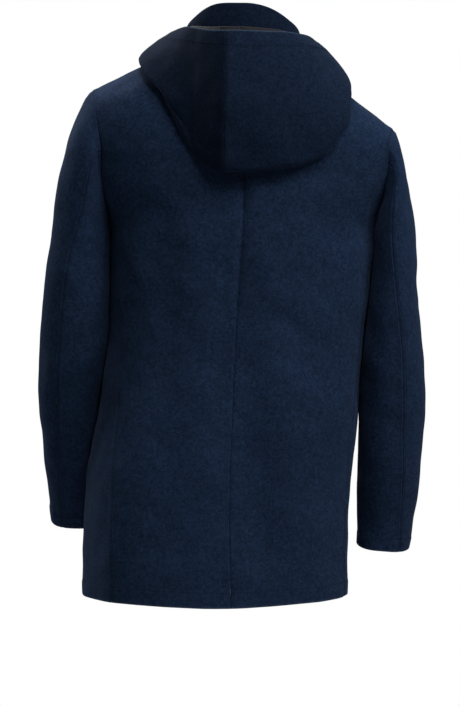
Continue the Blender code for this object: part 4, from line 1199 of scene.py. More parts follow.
def melton(name, wool, fibre, edge, painted_shade, mottle=1.0):
    """Thick felted wool: an uneven dye, a short matted nap with lighter fibres, and free edges lightened for
    wear and a painted highlight.

    painted_shade scales the wool's colours for the part, a painted shade or light for how the light falls on
    it; 1 leaves the colour as it is.
    """
    # Painted shade: the wool and fibre colours are darkened or lightened for the part, for how the light
    # falls on it.
    wool, fibre = ([c * painted_shade for c in tint] for tint in (wool, fibre))
    material, tree, shader, add = shader_nodes(name)
    place = add("TexCoord").outputs["Object"]
    cloud = noise(add, place, 9.0, 3.0)
    patch = noise(add, place, 95.0, 4.0, 0.62)
    fleck = noise(add, place, 230.0, 2.0, 0.6)
    grain = noise(add, place, 520.0, 3.0, 0.6)
    fuzz = noise(add, place, 1700.0, 3.0, 0.65)
    tone = times(
        add, ranged(add, cloud, 0.3, 0.7, 0.94, 1.06),
        ranged(add, patch, 0.3, 0.7, 1.0 - 0.16 * mottle, 1.0 + 0.16 * mottle))
    tone = times(add, tone, ranged(add, fleck, 0.3, 0.7, 1.0 - 0.30 * mottle, 1.0 + 0.30 * mottle))
    tone = times(add, tone, ranged(add, grain, 0.3, 0.7, 1.0 - 0.30 * mottle, 1.0 + 0.30 * mottle))
    plain = blend_colour(add, 0.0, wool, wool)
    shaded = add("VectorMath", {0: plain, "Scale": tone}, operation="SCALE").outputs["Vector"]
    strands = add("Mapping", {"Vector": place}, in_Rotation=(0.4, 0.7, 0.3), in_Scale=(1.0, 1.0, 0.24))
    thread = noise(add, strands.outputs["Vector"], 2300.0, 2.0, 0.5)
    bright = ranged(add, thread, 0.60, 0.80, 0.0, 0.36)
    coloured = blend_colour(add, bright, shaded, fibre)
    # Free edges lighter: wear, and a painted highlight where the edge catches the light.
    worn_and_lit = add("Attribute", attribute_name="worn_and_lit", attribute_type="GEOMETRY").outputs["Fac"]
    worn = times(add, times(add, worn_and_lit, ranged(add, patch, 0.3, 0.7, 0.55, 1.0)), 0.62)
    coloured = blend_colour(add, worn, coloured, edge)
    # Painted shade: the colour is darkened along the stitch lines, for the shade in their grooves.
    pressed = add("Attribute", attribute_name="pressed", attribute_type="GEOMETRY").outputs["Fac"]
    coloured = blend_colour(add, times(add, pressed, 0.45), coloured, [c * 0.45 for c in wool])
    tree.links.new(coloured, shader.inputs["Base Color"])
    tree.links.new(ranged(add, grain, 0.3, 0.7, 0.84, 0.97), shader.inputs["Roughness"])
    shader.inputs["Specular IOR Level"].default_value = 0.02
    shader.inputs["Sheen Weight"].default_value = 0.03
    shader.inputs["Sheen Roughness"].default_value = 0.45
    shader.inputs["Sheen Tint"].default_value = (0.45, 0.62, 1.0, 1.0)
    nap = add("Bump", {"Height": fleck}, in_Strength=0.45, in_Distance=0.0011)
    matt = add(
        "Bump", {"Height": grain, "Normal": nap.outputs["Normal"]}, in_Strength=0.45, in_Distance=0.0007)
    hair = add(
        "Bump", {"Height": fuzz, "Normal": matt.outputs["Normal"]}, in_Strength=0.40, in_Distance=0.00025)
    tree.links.new(hair.outputs["Normal"], shader.inputs["Normal"])
    return material


def thread_material(name, colour):
    """Twisted sewing thread, a little glossier than the wool."""
    material, tree, shader, add = shader_nodes(name)
    place = add("TexCoord").outputs["Object"]
    twist = noise(add, place, 1600.0, 2.0)
    tone = ranged(add, twist, 0.3, 0.7, 0.75, 1.3)
    plain = blend_colour(add, 0.0, colour, colour)
    shaded = add("VectorMath", {0: plain, "Scale": tone}, operation="SCALE").outputs["Vector"]
    tree.links.new(shaded, shader.inputs["Base Color"])
    shader.inputs["Roughness"].default_value = 0.72
    shader.inputs["Specular IOR Level"].default_value = 0.10
    bump = add("Bump", {"Height": twist}, in_Strength=0.5, in_Distance=0.0002)
    tree.links.new(bump.outputs["Normal"], shader.inputs["Normal"])
    return material


def facing_material(name, colour):
    """Charcoal twill: fine slanting ribs over an uneven grey."""
    material, tree, shader, add = shader_nodes(name)
    place = add("TexCoord").outputs["Object"]
    ribs = add(
        "TexWave", {"Vector": place}, wave_type="BANDS", bands_direction="DIAGONAL",
        in_Scale=260.0, in_Distortion=1.2, in_Detail=1.0).outputs["Fac"]
    patch = noise(add, place, 160.0, 3.0)
    tone = times(add, ranged(add, ribs, 0.0, 1.0, 0.72, 1.25), ranged(add, patch, 0.3, 0.7, 0.85, 1.15))
    plain = blend_colour(add, 0.0, colour, colour)
    shaded = add("VectorMath", {0: plain, "Scale": tone}, operation="SCALE").outputs["Vector"]
    tree.links.new(shaded, shader.inputs["Base Color"])
    tree.links.new(ranged(add, patch, 0.3, 0.7, 0.68, 0.85), shader.inputs["Roughness"])
    shader.inputs["Specular IOR Level"].default_value = 0.15
    bump = add("Bump", {"Height": ribs}, in_Strength=0.45, in_Distance=0.0004)
    tree.links.new(bump.outputs["Normal"], shader.inputs["Normal"])
    return material


def horn_material(name, colour):
    """Dark horn-like button: faint lighter streaks under a satin polish."""
    material, tree, shader, add = shader_nodes(name)
    place = add("TexCoord").outputs["Object"]
    swirl = add("TexNoise", {"Vector": place}, in_Scale=85.0, in_Detail=4.0, in_Distortion=2.2).outputs["Fac"]
    streak = blend_colour(
        add, ranged(add, swirl, 0.45, 0.75, 0.0, 0.75), colour, [c * 3.0 + 0.006 for c in colour])
    tree.links.new(streak, shader.inputs["Base Color"])
    scuff = noise(add, place, 900.0, 3.0)
    tree.links.new(ranged(add, scuff, 0.3, 0.7, 0.26, 0.42), shader.inputs["Roughness"])
    shader.inputs["Coat Weight"].default_value = 0.15
    shader.inputs["Coat Roughness"].default_value = 0.25
    bump = add("Bump", {"Height": scuff}, in_Strength=0.08, in_Distance=0.0002)
    tree.links.new(bump.outputs["Normal"], shader.inputs["Normal"])
    return material


def material_of(name, make, *values):
    return bpy.data.materials.get(name) or make(name, *values)


# Painted shade and light per part: each part's wool colour is scaled by its tone, darkest on the hood's left
# half and the collar, where shade falls on them.
PAINTED_SHADE_COLUMNS = ("part", "tone")
PAINTED_SHADE_ROWS = (
    ("body", 0.97),
    ("sleeve", 1.02),
    ("collar", 0.44),
    ("hood_left", 0.36),
    ("hood_right", 0.59),
)


def wool_material(part):
    tint = colours()
    # tone is the part's painted shade, a scale on its wool colour.
    tone = {row[0]: dict(zip(PAINTED_SHADE_COLUMNS, row)) for row in PAINTED_SHADE_ROWS}[part]["tone"]
    return material_of(
        "navy_melton_" + part, melton, tuple(tint.wool), tuple(tint.fibre), tuple(tint.edge), tone)


# The body.


def body_place(part, side, u, v):
    """Angle and level on a back or a front, u from its centre edge to its side, v from hem to top."""
    low, top = UNDERARM - 0.571, WALL_TOP + ARC * 0.999
    guess = low + (top - low) * v
    edge = edge_angle(guess, part + "_angle", side)
    start = 0.0 if part == "back" else math.pi + OVERLAP / FRONT_RADIUS
    phi = start + (edge - start) * u
    bottom = hem_level(phi)
    share = (guess - low) / (UNDERARM - low)
    roll = (guess - WALL_TOP) / (top - WALL_TOP)
    level = np.where(
        guess < UNDERARM, bottom + (UNDERARM - bottom) * share,
        np.where(guess > WALL_TOP, WALL_TOP + (neck_level(phi) - WALL_TOP) * roll, guess))
    return phi * side, level


def body_panel(part, side):
    word = "left" if side > 0 else "right"

    def face(u, v):
        phi, level = body_place(part, side, u, v)
        points = torso(phi, level)
        if part == "front" and side < 0:
            points = points - torso_normal(phi, level) * under_step(phi)[..., None]
        return points

    def normal(u, v):
        phi, level = body_place(part, side, u, v)
        return torso_normal(phi, np.minimum(level, WALL_TOP + ARC * 0.985))

    fit = sizes()
    seam = ("seam", fit.seam_stitch)
    centre = ("plain", 0.0) if part == "back" else ("free", fit.edge_stitch)
    size = (0.255, 0.94) if part == "back" else (0.330, 0.98)
    under = 0.571 / (0.571 + WALL_TOP + ARC * 0.999 - UNDERARM)
    obj = cloth(
        "cloth_" + part + "_" + word, face, normal, size,
        (centre, seam, ("hem", fit.hem_stitch), ("plain", 0.0)), pins=(under,))
    obj.data.materials.append(wool_material("body"))
    declare(obj, ["back_left", "back_right"] if part == "front" else ["collar"])


class COAT_OT_body(bpy.types.Operator):
    """Build the backs and the fronts, hanging from the shoulders"""

    bl_idname = "coat.body"
    bl_label = "Body"

    def execute(self, context):
        for side in (1, -1):
            body_panel("back", side)
            body_panel("front", side)
        return {"FINISHED"}


# The sleeves.


def sleeve_panel(part, side):
    word = "left" if side > 0 else "right"
    seams = SEAM_LEFT if side > 0 else SEAM_RIGHT

    def place(u, v):
        hind = look(SEAM_COLUMNS, seams, "share", "hind", v)
        fore = look(SEAM_COLUMNS, seams, "share", "fore", v)
        low, high = (fore - 360.0, hind) if part == "upper" else (hind, fore)
        return v, low + (high - low) * u

    def face(u, v):
        return sleeve(side, *place(u, v))

    def normal(u, v):
        share, theta = place(u, v)
        normals = sleeve_normal(side, share, theta)
        phi, level = armhole(side, theta[0] % 360.0)
        body = torso_normal(phi, np.minimum(level, WALL_TOP + ARC * 0.985))
        caps = CAP_LEFT if side > 0 else CAP_RIGHT
        fold = look(CAP_COLUMNS, caps, "angle", "fold", theta[0] % 360.0)
        mitre = ease(1.0 - fold / 25.0)[:, None]
        near = np.clip(1.0 - arc(face(u, v), 0) / 0.006, 0.0, 1.0)[..., None]
        return unit(normals * (1 - mitre * near) + body[None] * mitre * near)

    def after(outer, inner):
        moved = keep_off_body(outer)
        return moved, inner + (moved - outer)

    fit = sizes()
    hind, fore = ("seam", fit.seam_stitch), ("plain", 0.0)
    first, last = (fore, hind) if part == "upper" else (hind, fore)
    size = (0.235, 0.70) if part == "upper" else (0.16, 0.56)
    obj = cloth(
        "cloth_sleeve_" + word + "_" + part, face, normal, size,
        (first, last, ("set in", fit.seam_stitch), ("hem", fit.cuff_stitch)),
        relief=lambda u, v: arm_creases(side, *place(u, v)), after=after)
    obj.data.materials.append(wool_material("sleeve"))
    declare(obj, ["back_" + word, "front_" + word])


class COAT_OT_sleeves(bpy.types.Operator):
    """Build the two-piece sleeves"""

    bl_idname = "coat.sleeves"
    bl_label = "Sleeves"

    def execute(self, context):
        for side in (1, -1):
            sleeve_panel("upper", side)
            sleeve_panel("under", side)
        return {"FINISHED"}


# The collar and the hood.


COLLAR_END = 178.6     # plan angle of the collar's front ends, in degrees
COLLAR_TALL = 0.06     # the collar's height, for placing its foot
COLLAR_FOOT = 0.0010   # how far its foot starts above the neckline
BESIDE_EDGE = 0.001    # where the foot begins to drop beside the left front's edge
DROP_RAMP = 0.003      # the width over which it drops


def neck_sink(alpha):
    """How far the neckline drops beside the left front's edge, where the right front lies lower."""
    turn = np.radians(alpha)
    aside = -NECK_HALF * np.sin(turn)
    sunk = ease((SUNK_WIDTH - aside) / SUNK_RAMP) * ease((aside - OVERLAP - BESIDE_EDGE) / DROP_RAMP)
    return np.where(np.cos(turn) < 0, SUNK * sunk, 0.0)


def build_collar():
    def place(u, v):
        alpha = -COLLAR_END + 2 * COLLAR_END * u
        low = (COLLAR_FOOT - neck_sink(alpha)) / COLLAR_TALL
        return alpha, low + (1 - low) * v

    obj = cloth(
        "cloth_collar", lambda u, v: collar_face(*place(u, v)),
        lambda u, v: face_normal(collar_face, *place(u, v), 0.5, 0.01, 1.0),
        (0.60, 0.055), (("free", 0.0), ("free", 0.0), ("plain", 0.0), ("free", sizes().edge_stitch)))
    obj.data.materials.append(wool_material("collar"))
    declare(obj, ["back_left", "back_right"])


def hood_shown(s, t):
    """The hood's outer face as it hangs: keeled along its centre seam, its lower part leaning in."""
    s, t = np.broadcast_arrays(np.asarray(s, float), np.asarray(t, float))
    points = hood_face(s, t).copy()
    rear = ease((t - HOOD_SPLIT) / 0.10)
    brim = 1.0 - 0.55 * ease((t - 0.80) / 0.20)
    keel = np.interp(s, column(KEEL_COLUMNS, KEEL_ROWS, "s"), column(KEEL_COLUMNS, KEEL_ROWS, "out"))
    z = points[..., 2]
    lean = smooth_table(
        z, column(LEAN_COLUMNS, LEAN_ROWS, "z"), column(LEAN_COLUMNS, LEAN_ROWS, "out"))
    behind = ease((points[..., 1] - 0.06) / 0.04)
    points[..., 1] += rear * behind * (keel * brim + lean)
    return points


def build_hood_half(side):
    word = "left" if side > 0 else "right"
    fit = sizes()
    obj = cloth(
        "cloth_hood_" + word, lambda u, v: hood_shown(u * side, v),
        lambda u, v: face_normal(hood_shown, u * side, v, 4e-3, 4e-3, -1.0),
        (0.30, 0.34),
        (("seam", fit.seam_stitch), ("free", 0.0), ("plain", 0.0), ("hem", fit.mouth_stitch)),
        relief=lambda u, v: hood_relief(u * side, v), pins=(HOOD_SPLIT,))
    obj.data.materials.append(wool_material("hood_" + word))
    declare(obj, ["collar", "back_" + word])


def hood_relief(s, t):
    shown = ease((t - HOOD_SPLIT - 0.06) / 0.10)
    return shown * along_creases(HOOD_CREASE_COLUMNS, HOOD_CREASES, s, t, 0.26, 0.33)


def build_hood_facing():
    """The charcoal facing that stands just above the hood's mouth."""
    deep = 0.93

    def place(u, v):
        s = FACING_S[0] + (FACING_S[1] - FACING_S[0]) * u
        t = 1.0 - FACING_DEEP + FACING_DEEP * np.minimum(v / deep, 1.0)
        return s, t, np.clip((v - deep) / (1 - deep), 0.0, 1.0)

    def normal(u, v):
        s, t, _ = place(u, v)
        return face_normal(hood_shown, s, t - 4e-3, 4e-3, 4e-3, -1.0)

    def face(u, v):
        s, t, up = place(u, v)
        lining = hood_shown(s, t) - (CLOTH + 0.0017) * normal(u, v)
        brim = hood_shown(s, np.ones_like(t))
        end = unit(brim - hood_shown(s, np.full_like(t, 0.985)))
        arch = np.cos(np.clip(s / 0.46, -1, 1) * math.pi / 2)
        return lining + end * (up * (FACING_UP * arch + 0.0008))[..., None]

    obj = cloth(
        "cloth_hood_facing", face, normal, (0.26, 0.034),
        (("free", 0.0), ("free", 0.0), ("bare", 0.0), ("free", 0.0)), thickness=0.0016, step=0.0025)
    tint = colours()
    obj.data.materials.append(material_of("charcoal_twill", facing_material, tuple(tint.charcoal)))
    declare(obj, ["hood_left", "hood_right"])


class COAT_OT_hood(bpy.types.Operator):
    """Build the collar, the hood hanging on the back and its facing"""

    bl_idname = "coat.hood"
    bl_label = "Collar and hood"

    def execute(self, context):
        build_collar()
        for side in (1, -1):
            build_hood_half(side)
        build_hood_facing()
        return {"FINISHED"}


# The sewing.

# Lines of topstitching: the piece, the edge it follows, and which stitch distance it keeps.
SEWING_COLUMNS = ("piece", "edge", "distance")
SEWING_ROWS = (
    ("back_left", "last", "seam_stitch"),
    ("back_left", "bottom", "hem_stitch"),
    ("back_right", "last", "seam_stitch"),
    ("back_right", "bottom", "hem_stitch"),
    ("front_left", "first", "edge_stitch"),
    ("front_left", "last", "seam_stitch"),
    ("front_left", "bottom", "hem_stitch"),
    ("front_right", "first", "edge_stitch"),
    ("front_right", "last", "seam_stitch"),
    ("front_right", "bottom", "hem_stitch"),
    ("sleeve_left_upper", "last", "seam_stitch"),
    ("sleeve_left_upper", "bottom", "seam_stitch"),
    ("sleeve_left_upper", "top", "cuff_stitch"),
    ("sleeve_left_under", "first", "seam_stitch"),
    ("sleeve_left_under", "bottom", "seam_stitch"),
    ("sleeve_left_under", "top", "cuff_stitch"),
    ("sleeve_right_upper", "last", "seam_stitch"),
    ("sleeve_right_upper", "bottom", "seam_stitch"),
    ("sleeve_right_upper", "top", "cuff_stitch"),
    ("sleeve_right_under", "first", "seam_stitch"),
    ("sleeve_right_under", "bottom", "seam_stitch"),
    ("sleeve_right_under", "top", "cuff_stitch"),
    ("collar", "top", "edge_stitch"),
    ("hood_left", "first", "seam_stitch"),
    ("hood_left", "top", "mouth_stitch"),
    ("hood_right", "first", "seam_stitch"),
    ("hood_right", "top", "mouth_stitch"),
)
STITCH_SIDES = 5
STITCH_RINGS = ((-0.47, 0.50), (-0.26, 0.95), (0.26, 0.95), (0.47, 0.50))   # place along, size across


def line_on(panel, edge, distance):
    """Points and outward normals along a panel at one distance from an edge."""
    away = panel[edge]
    points, normals = panel["points"], panel["normals"]
    if edge in ("bottom", "top"):
        away, points, normals = away.T, points.swapaxes(0, 1), normals.swapaxes(0, 1)
    if edge in ("last", "top"):
        away, points, normals = away[:, ::-1], points[:, ::-1], normals[:, ::-1]
    made = []
    for i in range(len(away)):
        made.append([np.interp(distance, away[i], layer[i, :, k])
                     for layer in (points, normals) for k in range(3)])
    made = np.array(made)
    return made[:, :3], unit(made[:, 3:])


def stitches_along(points, normals, pitch, trim):
    """Middles, directions and normals of the stitches along a line, from trim inside its ends."""
    run = np.concatenate([[0.0], np.cumsum(np.linalg.norm(np.diff(points, axis=0), axis=1))])
    count = max(2, int((run[-1] - 2 * trim) / pitch))
    at = trim + (np.arange(count) + 0.5) * (run[-1] - 2 * trim) / count
    half = pitch * 0.3
    spot, before, after, up = (
        np.stack([np.interp(where, run, values[:, k]) for k in range(3)], axis=-1)
        for where, values in ((at, points), (at - half, points), (at + half, points), (at, normals)))
    return spot, unit(after - before), unit(up)


def thread_mesh(name, middles, ways, ups, length, thick, sunk):
    """One mesh of many short stitches, each a five-sided bead with pointed ends."""
    chance = np.random.default_rng(len(middles))
    ways = unit(ways + chance.normal(size=ways.shape) * 0.035)
    across = unit(np.cross(ways, ups))
    ups = unit(np.cross(across, ways))
    length = length * (1.0 + chance.normal(size=len(middles)) * 0.05)
    count = STITCH_SIDES * len(STITCH_RINGS) + 2
    base = middles + ups * (thick * (0.5 - sunk))
    points = np.zeros((len(middles), count, 3))
    for r, (place, size) in enumerate(STITCH_RINGS):
        arch = -0.55 * thick * (abs(place) / 0.5) ** 2
        for k in range(STITCH_SIDES):
            turn = 2 * math.pi * (k + 0.5) / STITCH_SIDES
            points[:, r * STITCH_SIDES + k] = (
                base + ways * (length * place)[:, None]
                + across * math.cos(turn) * size * thick * 0.5
                + ups * (math.sin(turn) * size * thick * 0.45 + arch))
    for k, place in ((count - 2, -0.54), (count - 1, 0.54)):
        points[:, k] = base + ways * (length * place)[:, None] - ups * thick * 0.6
    faces = []
    for r in range(len(STITCH_RINGS) - 1):
        for k in range(STITCH_SIDES):
            low, high = r * STITCH_SIDES, (r + 1) * STITCH_SIDES
            after = (k + 1) % STITCH_SIDES
            faces.append((low + after, low + k, high + k, high + after))
    last = (len(STITCH_RINGS) - 1) * STITCH_SIDES
    for k in range(STITCH_SIDES):
        after = (k + 1) % STITCH_SIDES
        faces.append((k, after, count - 2, count - 2))
        faces.append((last + after, last + k, count - 1, count - 1))
    faces = np.array(faces)
    corner = points[0][faces]
    volume = np.einsum("ij,ij->", corner[:, 0], np.cross(corner[:, 1], corner[:, 2]))
    volume += np.einsum("ij,ij->", corner[:, 0], np.cross(corner[:, 2], corner[:, 3]))
    if volume < 0:
        faces = faces[:, [1, 0, 3, 2]]
    every = faces[None] + (np.arange(len(middles)) * count)[:, None, None]
    full = [tuple(dict.fromkeys(face)) for face in every.reshape(-1, 4).tolist()]
    mesh = bpy.data.meshes.new(name)
    mesh.from_pydata(points.reshape(-1, 3).tolist(), [], full)
    mesh.polygons.foreach_set("use_smooth", [True] * len(mesh.polygons))
    obj = bpy.data.objects.new(name, mesh)
    bpy.context.scene.collection.objects.link(obj)
    mesh.materials.append(
        material_of("navy_thread", thread_material, tuple(colours().thread)))
    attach(obj, "root")
    return obj


# Buttonholes of the left front run level, from the button towards the wearer's left.
HOLE_FROM, HOLE_TO = -0.002, 0.0265
HOLE_PITCH = 0.00075
HOLE_HALF = 0.0016


def buttonhole_threads(panel):
    """The bars of thread round each buttonhole, laid on the left front."""
    spots, ways, ups = [], [], []
    points, normals = panel["points"].reshape(-1, 3), panel["normals"].reshape(-1, 3)
    for row in BUTTON_ROWS:
        level = dict(zip(BUTTON_COLUMNS, row))["z"]
        for step in np.arange(HOLE_FROM, HOLE_TO, HOLE_PITCH):
            for side in (-1.0, 1.0):
                turn, height = math.pi - step / FRONT_RADIUS, level + side * HOLE_HALF
                aim = torso(np.array([turn]), np.array([height]))[0]
                near = np.argsort(((points - aim) ** 2).sum(axis=1))[:4]
                weight = 1.0 / (1e-7 + ((points[near] - aim) ** 2).sum(axis=1))
                lift = ((points[near] - aim) * normals[near]).sum(axis=1) @ weight / weight.sum()
                up = unit((normals[near] * weight[:, None]).sum(axis=0))
                spots.append(aim + up * lift)
                ways.append(np.cross(up, np.cross((0.0, 0.0, 1.0), up)))
                ups.append(up)
    return np.array(spots), unit(np.array(ways)), np.array(ups)


class COAT_OT_sewing(bpy.types.Operator):
    """Sew the seams, hems and buttonholes, piece by piece"""

    bl_idname = "coat.sewing"
    bl_label = "Sewing"

    def execute(self, context):
        fit = sizes()
        rows = [dict(zip(SEWING_COLUMNS, row)) for row in SEWING_ROWS]
        for cut in (dict(zip(CUT_COLUMNS, row)) for row in CUT_ROWS):
            piece = cut["piece"]
            panel = MADE["cloth_" + piece]
            laid = [
                stitches_along(
                    *line_on(panel, row["edge"], getattr(fit, row["distance"])),
                    fit.stitch_pitch, 0.0030)
                for row in rows if row["piece"] == piece]
            if laid:
                middles, ways, ups = (np.concatenate(parts) for parts in zip(*laid))
                thread_mesh(
                    "stitches_" + piece, middles, ways, ups, fit.stitch_length, fit.thread, 0.30)
            if piece == "front_left":
                spots, ways, ups = buttonhole_threads(panel)
                thread_mesh(
                    "buttonholes_left", spots, ways, ups, 2 * HOLE_HALF * 0.92, fit.thread, 0.25)
        return {"FINISHED"}


# The buttons.

BUTTON_HOLE = 0.0011       # radius of a button's thread hole
BUTTON_HOLE_AT = 0.0022    # how far the holes lie from the middle, each way
BUTTON_RIM = 0.0026        # width of the raised rim
BUTTON_DISH = 0.0011       # how deep the middle lies below the rim


def button_blank(name):
    """A turned button with a raised rim, a dished middle and four holes, lying flat at the origin."""
    fit = sizes()
    bpy.ops.object.select_all(action="DESELECT")
    bpy.ops.mesh.primitive_cylinder_add(vertices=64, radius=fit.button_radius, depth=fit.button_height)
    blank = bpy.context.object
    blank.name = name
    bpy.ops.object.mode_set(mode="EDIT")
    bpy.ops.mesh.select_mode(type="FACE")
    bpy.ops.mesh.select_all(action="DESELECT")
    shape = bmesh.from_edit_mesh(blank.data)
    shape.faces.ensure_lookup_table()
    for face in shape.faces:
        face.select_set(face.normal.z > 0.9)
    bmesh.update_edit_mesh(blank.data)
    bpy.ops.mesh.inset(thickness=BUTTON_RIM)
    bpy.ops.mesh.inset(thickness=0.0010)
    bpy.ops.transform.translate(value=(0.0, 0.0, -BUTTON_DISH))
    bpy.ops.mesh.inset(thickness=0.0028)
    bpy.ops.transform.translate(value=(0.0, 0.0, -0.00022))
    bpy.ops.object.mode_set(mode="OBJECT")
    bevel = blank.modifiers.new("round", "BEVEL")
    bevel.width = 0.00075
    bevel.segments = 3
    bevel.angle_limit = math.radians(24)
    bpy.ops.object.modifier_apply(modifier="round")
    for x in (-BUTTON_HOLE_AT, BUTTON_HOLE_AT):
        for y in (-BUTTON_HOLE_AT, BUTTON_HOLE_AT):
            bpy.ops.mesh.primitive_cylinder_add(
                vertices=20, radius=BUTTON_HOLE, depth=fit.button_height * 2, location=(x, y, 0.0))
            drill = bpy.context.object
            cut = blank.modifiers.new("hole", "BOOLEAN")
            cut.operation = "DIFFERENCE"
            cut.object = drill
            bpy.context.view_layer.objects.active = blank
            bpy.ops.object.modifier_apply(modifier="hole")
            bpy.data.meshes.remove(drill.data)
    bpy.ops.object.select_all(action="DESELECT")
    blank.select_set(True)
    bpy.context.view_layer.objects.active = blank
    bpy.ops.object.shade_smooth_by_angle(angle=math.radians(30))
    return blank


def button_threads(name, turn):
    """Two bars of thread over a button's holes, a few strands each, laid by its place and turn."""
    spots, ways = [], []
    for y in (-BUTTON_HOLE_AT, BUTTON_HOLE_AT):
        for k in range(4):
            spots.append((0.0, y + (k - 1.5) * 0.00042, 0.00115))
            ways.append((1.0, 0.03 * (k - 1.5), 0.0))
    frame_turn = np.array(turn.to_3x3())
    place = np.array(turn.translation)
    spots = np.array(spots) @ frame_turn.T + place
    ways = np.array(ways) @ frame_turn.T
    ups = np.tile(frame_turn[:, 2], (len(spots), 1))
    return thread_mesh(name, spots, ways, ups, BUTTON_HOLE_AT * 2.3, 0.00055, 0.0)


class COAT_OT_buttons(bpy.types.Operator):
    """Turn the buttons and sew them to the front"""

    bl_idname = "coat.buttons"
    bl_label = "Buttons"

    def execute(self, context):
        fit = sizes()
        panel = MADE["cloth_front_left"]["points"].reshape(-1, 3)
        material = material_of("horn", horn_material, tuple(colours().button))
        for row in BUTTON_ROWS:
            button = dict(zip(BUTTON_COLUMNS, row))
            at, level = np.array([math.pi]), np.array([button["z"]])
            place, normal = torso(at, level)[0], torso_normal(at, level)[0]
            cap = np.linalg.norm(panel - place, axis=1) < fit.button_radius
            lift = ((panel[cap] - place) @ normal).max()
            place = place + normal * (lift + 0.0004 + fit.button_height / 2)
            blank = button_blank("turned_" + button["name"])
            out = Vector(normal)
            side = Vector((0.0, 0.0, 1.0)).cross(out).normalized()
            tilt = math.radians(4.0 * math.sin(9.1 * button["z"] + 1.0))
            turn = Matrix((side, out.cross(side), out)).transposed().to_4x4()
            turn = Matrix.Translation(place) @ turn @ Matrix.Rotation(tilt, 4, "Z")
            blank.matrix_world = turn
            bpy.ops.object.transform_apply(location=True, rotation=True, scale=True)
            blank.data.materials.append(material)
            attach(blank, "root")
            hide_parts(button["name"])
            button_threads("thread_" + button["name"], turn)
        return {"FINISHED"}


# The stage.


CAMERA_AT = (0.0195, 3.8, -0.4665)
VIEW_HEIGHT = 1.059   # how much of the coat's middle plane the picture takes in
FLOOR_Z = -1.46   # the floor is small enough to end below the picture
WORLD_GLOW = 0.042   # how strongly the pale surroundings light the coat
# Soft lights: place, what they aim at, size and power.
LIGHT_COLUMNS = ("name", "place", "aim", "size", "power")
LIGHT_ROWS = (
    ("key", (-2.20, 1.30, 1.70), (0.0, 0.0, -0.25), 1.8, 88.0),
    ("soft", (-0.50, 1.60, 2.50), (0.0, 0.0, -0.10), 1.3, 94.0),
    ("top", (0.20, 0.30, 2.80), (0.0, 0.0, -0.40), 1.0, 8.0),
    ("front_key", (2.20, -1.30, 1.70), (0.0, 0.0, -0.25), 1.8, 88.0),
    ("front_soft", (0.50, -1.60, 2.50), (0.0, 0.0, -0.10), 1.3, 94.0),
)


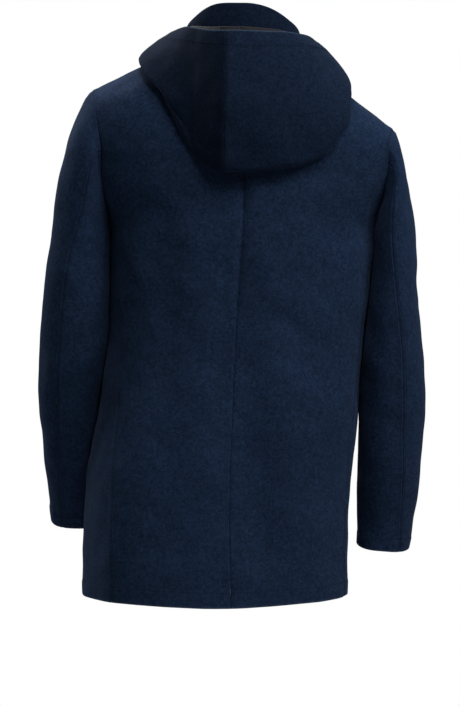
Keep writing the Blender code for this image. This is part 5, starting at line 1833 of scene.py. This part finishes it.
class COAT_OT_stage(bpy.types.Operator):
    """Add the pale floor, the soft lights and the camera"""

    bl_idname = "coat.stage"
    bl_label = "Stage"

    def execute(self, context):
        scene = context.scene
        scene.view_settings.view_transform = "Standard"
        bpy.ops.mesh.primitive_plane_add(size=6.0, location=(0.0, 0.0, FLOOR_Z))
        floor = context.object
        floor.name = "floor"
        material, tree, shader, add = shader_nodes("floor_paint")
        speck = noise(add, add("TexCoord").outputs["Object"], 3.0, 2.0)
        tint = tuple(colours().floor)
        painted = blend_colour(add, ranged(add, speck, 0.3, 0.7, 0.0, 1.0), tint, [c * 0.985 for c in tint])
        tree.links.new(painted, shader.inputs["Base Color"])
        shader.inputs["Roughness"].default_value = 0.9
        floor.data.materials.append(material)
        for row in LIGHT_ROWS:
            light = dict(zip(LIGHT_COLUMNS, row))
            lamp = bpy.data.lights.new(light["name"], "AREA")
            lamp.shape = "DISK"
            lamp.size = light["size"]
            lamp.energy = light["power"]
            obj = bpy.data.objects.new(light["name"], lamp)
            scene.collection.objects.link(obj)
            obj.location = light["place"]
            aim = Vector(light["aim"]) - Vector(light["place"])
            obj.rotation_euler = aim.to_track_quat("-Z", "Y").to_euler()
        world = bpy.data.worlds.new("studio")
        scene.world = world
        world.use_nodes = True
        tree = world.node_tree
        glow = tree.nodes["Background"]
        glow.inputs["Color"].default_value = (1.0, 1.0, 1.0, 1.0)
        ray = tree.nodes.new("ShaderNodeLightPath")
        strength = tree.nodes.new("ShaderNodeMapRange")
        strength.inputs["To Min"].default_value = WORLD_GLOW
        strength.inputs["To Max"].default_value = 1.0
        tree.links.new(ray.outputs["Is Camera Ray"], strength.inputs["Value"])
        tree.links.new(strength.outputs["Result"], glow.inputs["Strength"])
        camera = bpy.data.cameras.new("camera")
        camera.sensor_fit = "AUTO"
        camera.sensor_width = 36.0
        camera.lens = 36.0 / 2 / (VIEW_HEIGHT / 2 / CAMERA_AT[1])
        camera.clip_start, camera.clip_end = 0.05, 100.0
        seen = bpy.data.objects.new("camera", camera)
        scene.collection.objects.link(seen)
        seen.location = CAMERA_AT
        seen.rotation_euler = (math.pi / 2, 0.0, math.pi)
        scene.camera = seen
        return {"FINISHED"}


class COAT_PT_panel(bpy.types.Panel):
    """The coat's pieces and sizes"""

    bl_label = "Stadium coat"
    bl_idname = "COAT_PT_panel"
    bl_space_type = "VIEW_3D"
    bl_region_type = "UI"
    bl_category = "Coat"

    def draw(self, context):
        for group in (context.scene.coat_sizes, context.scene.coat_colours):
            box = self.layout.box()
            for name in group.__annotations__:
                box.prop(group, name)
        for operator in STEPS:
            self.layout.operator(operator.bl_idname)


STEPS = (
    COAT_OT_body, COAT_OT_sleeves, COAT_OT_hood, COAT_OT_sewing, COAT_OT_buttons, COAT_OT_stage)
CLASSES = (CoatSizes, CoatColours, *STEPS, COAT_PT_panel)


def register():
    for made in CLASSES:
        bpy.utils.register_class(made)
    bpy.types.Scene.coat_sizes = PointerProperty(type=CoatSizes)
    bpy.types.Scene.coat_colours = PointerProperty(type=CoatColours)


def unregister():
    del bpy.types.Scene.coat_colours
    del bpy.types.Scene.coat_sizes
    for made in reversed(CLASSES):
        bpy.utils.unregister_class(made)


def main():
    register()
    bpy.ops.object.select_all(action="DESELECT")
    bpy.ops.coat.body()
    bpy.ops.coat.sleeves()
    bpy.ops.coat.hood()
    bpy.ops.coat.sewing()
    bpy.ops.coat.buttons()
    bpy.ops.coat.stage()


if __name__ == "__main__":
    main()
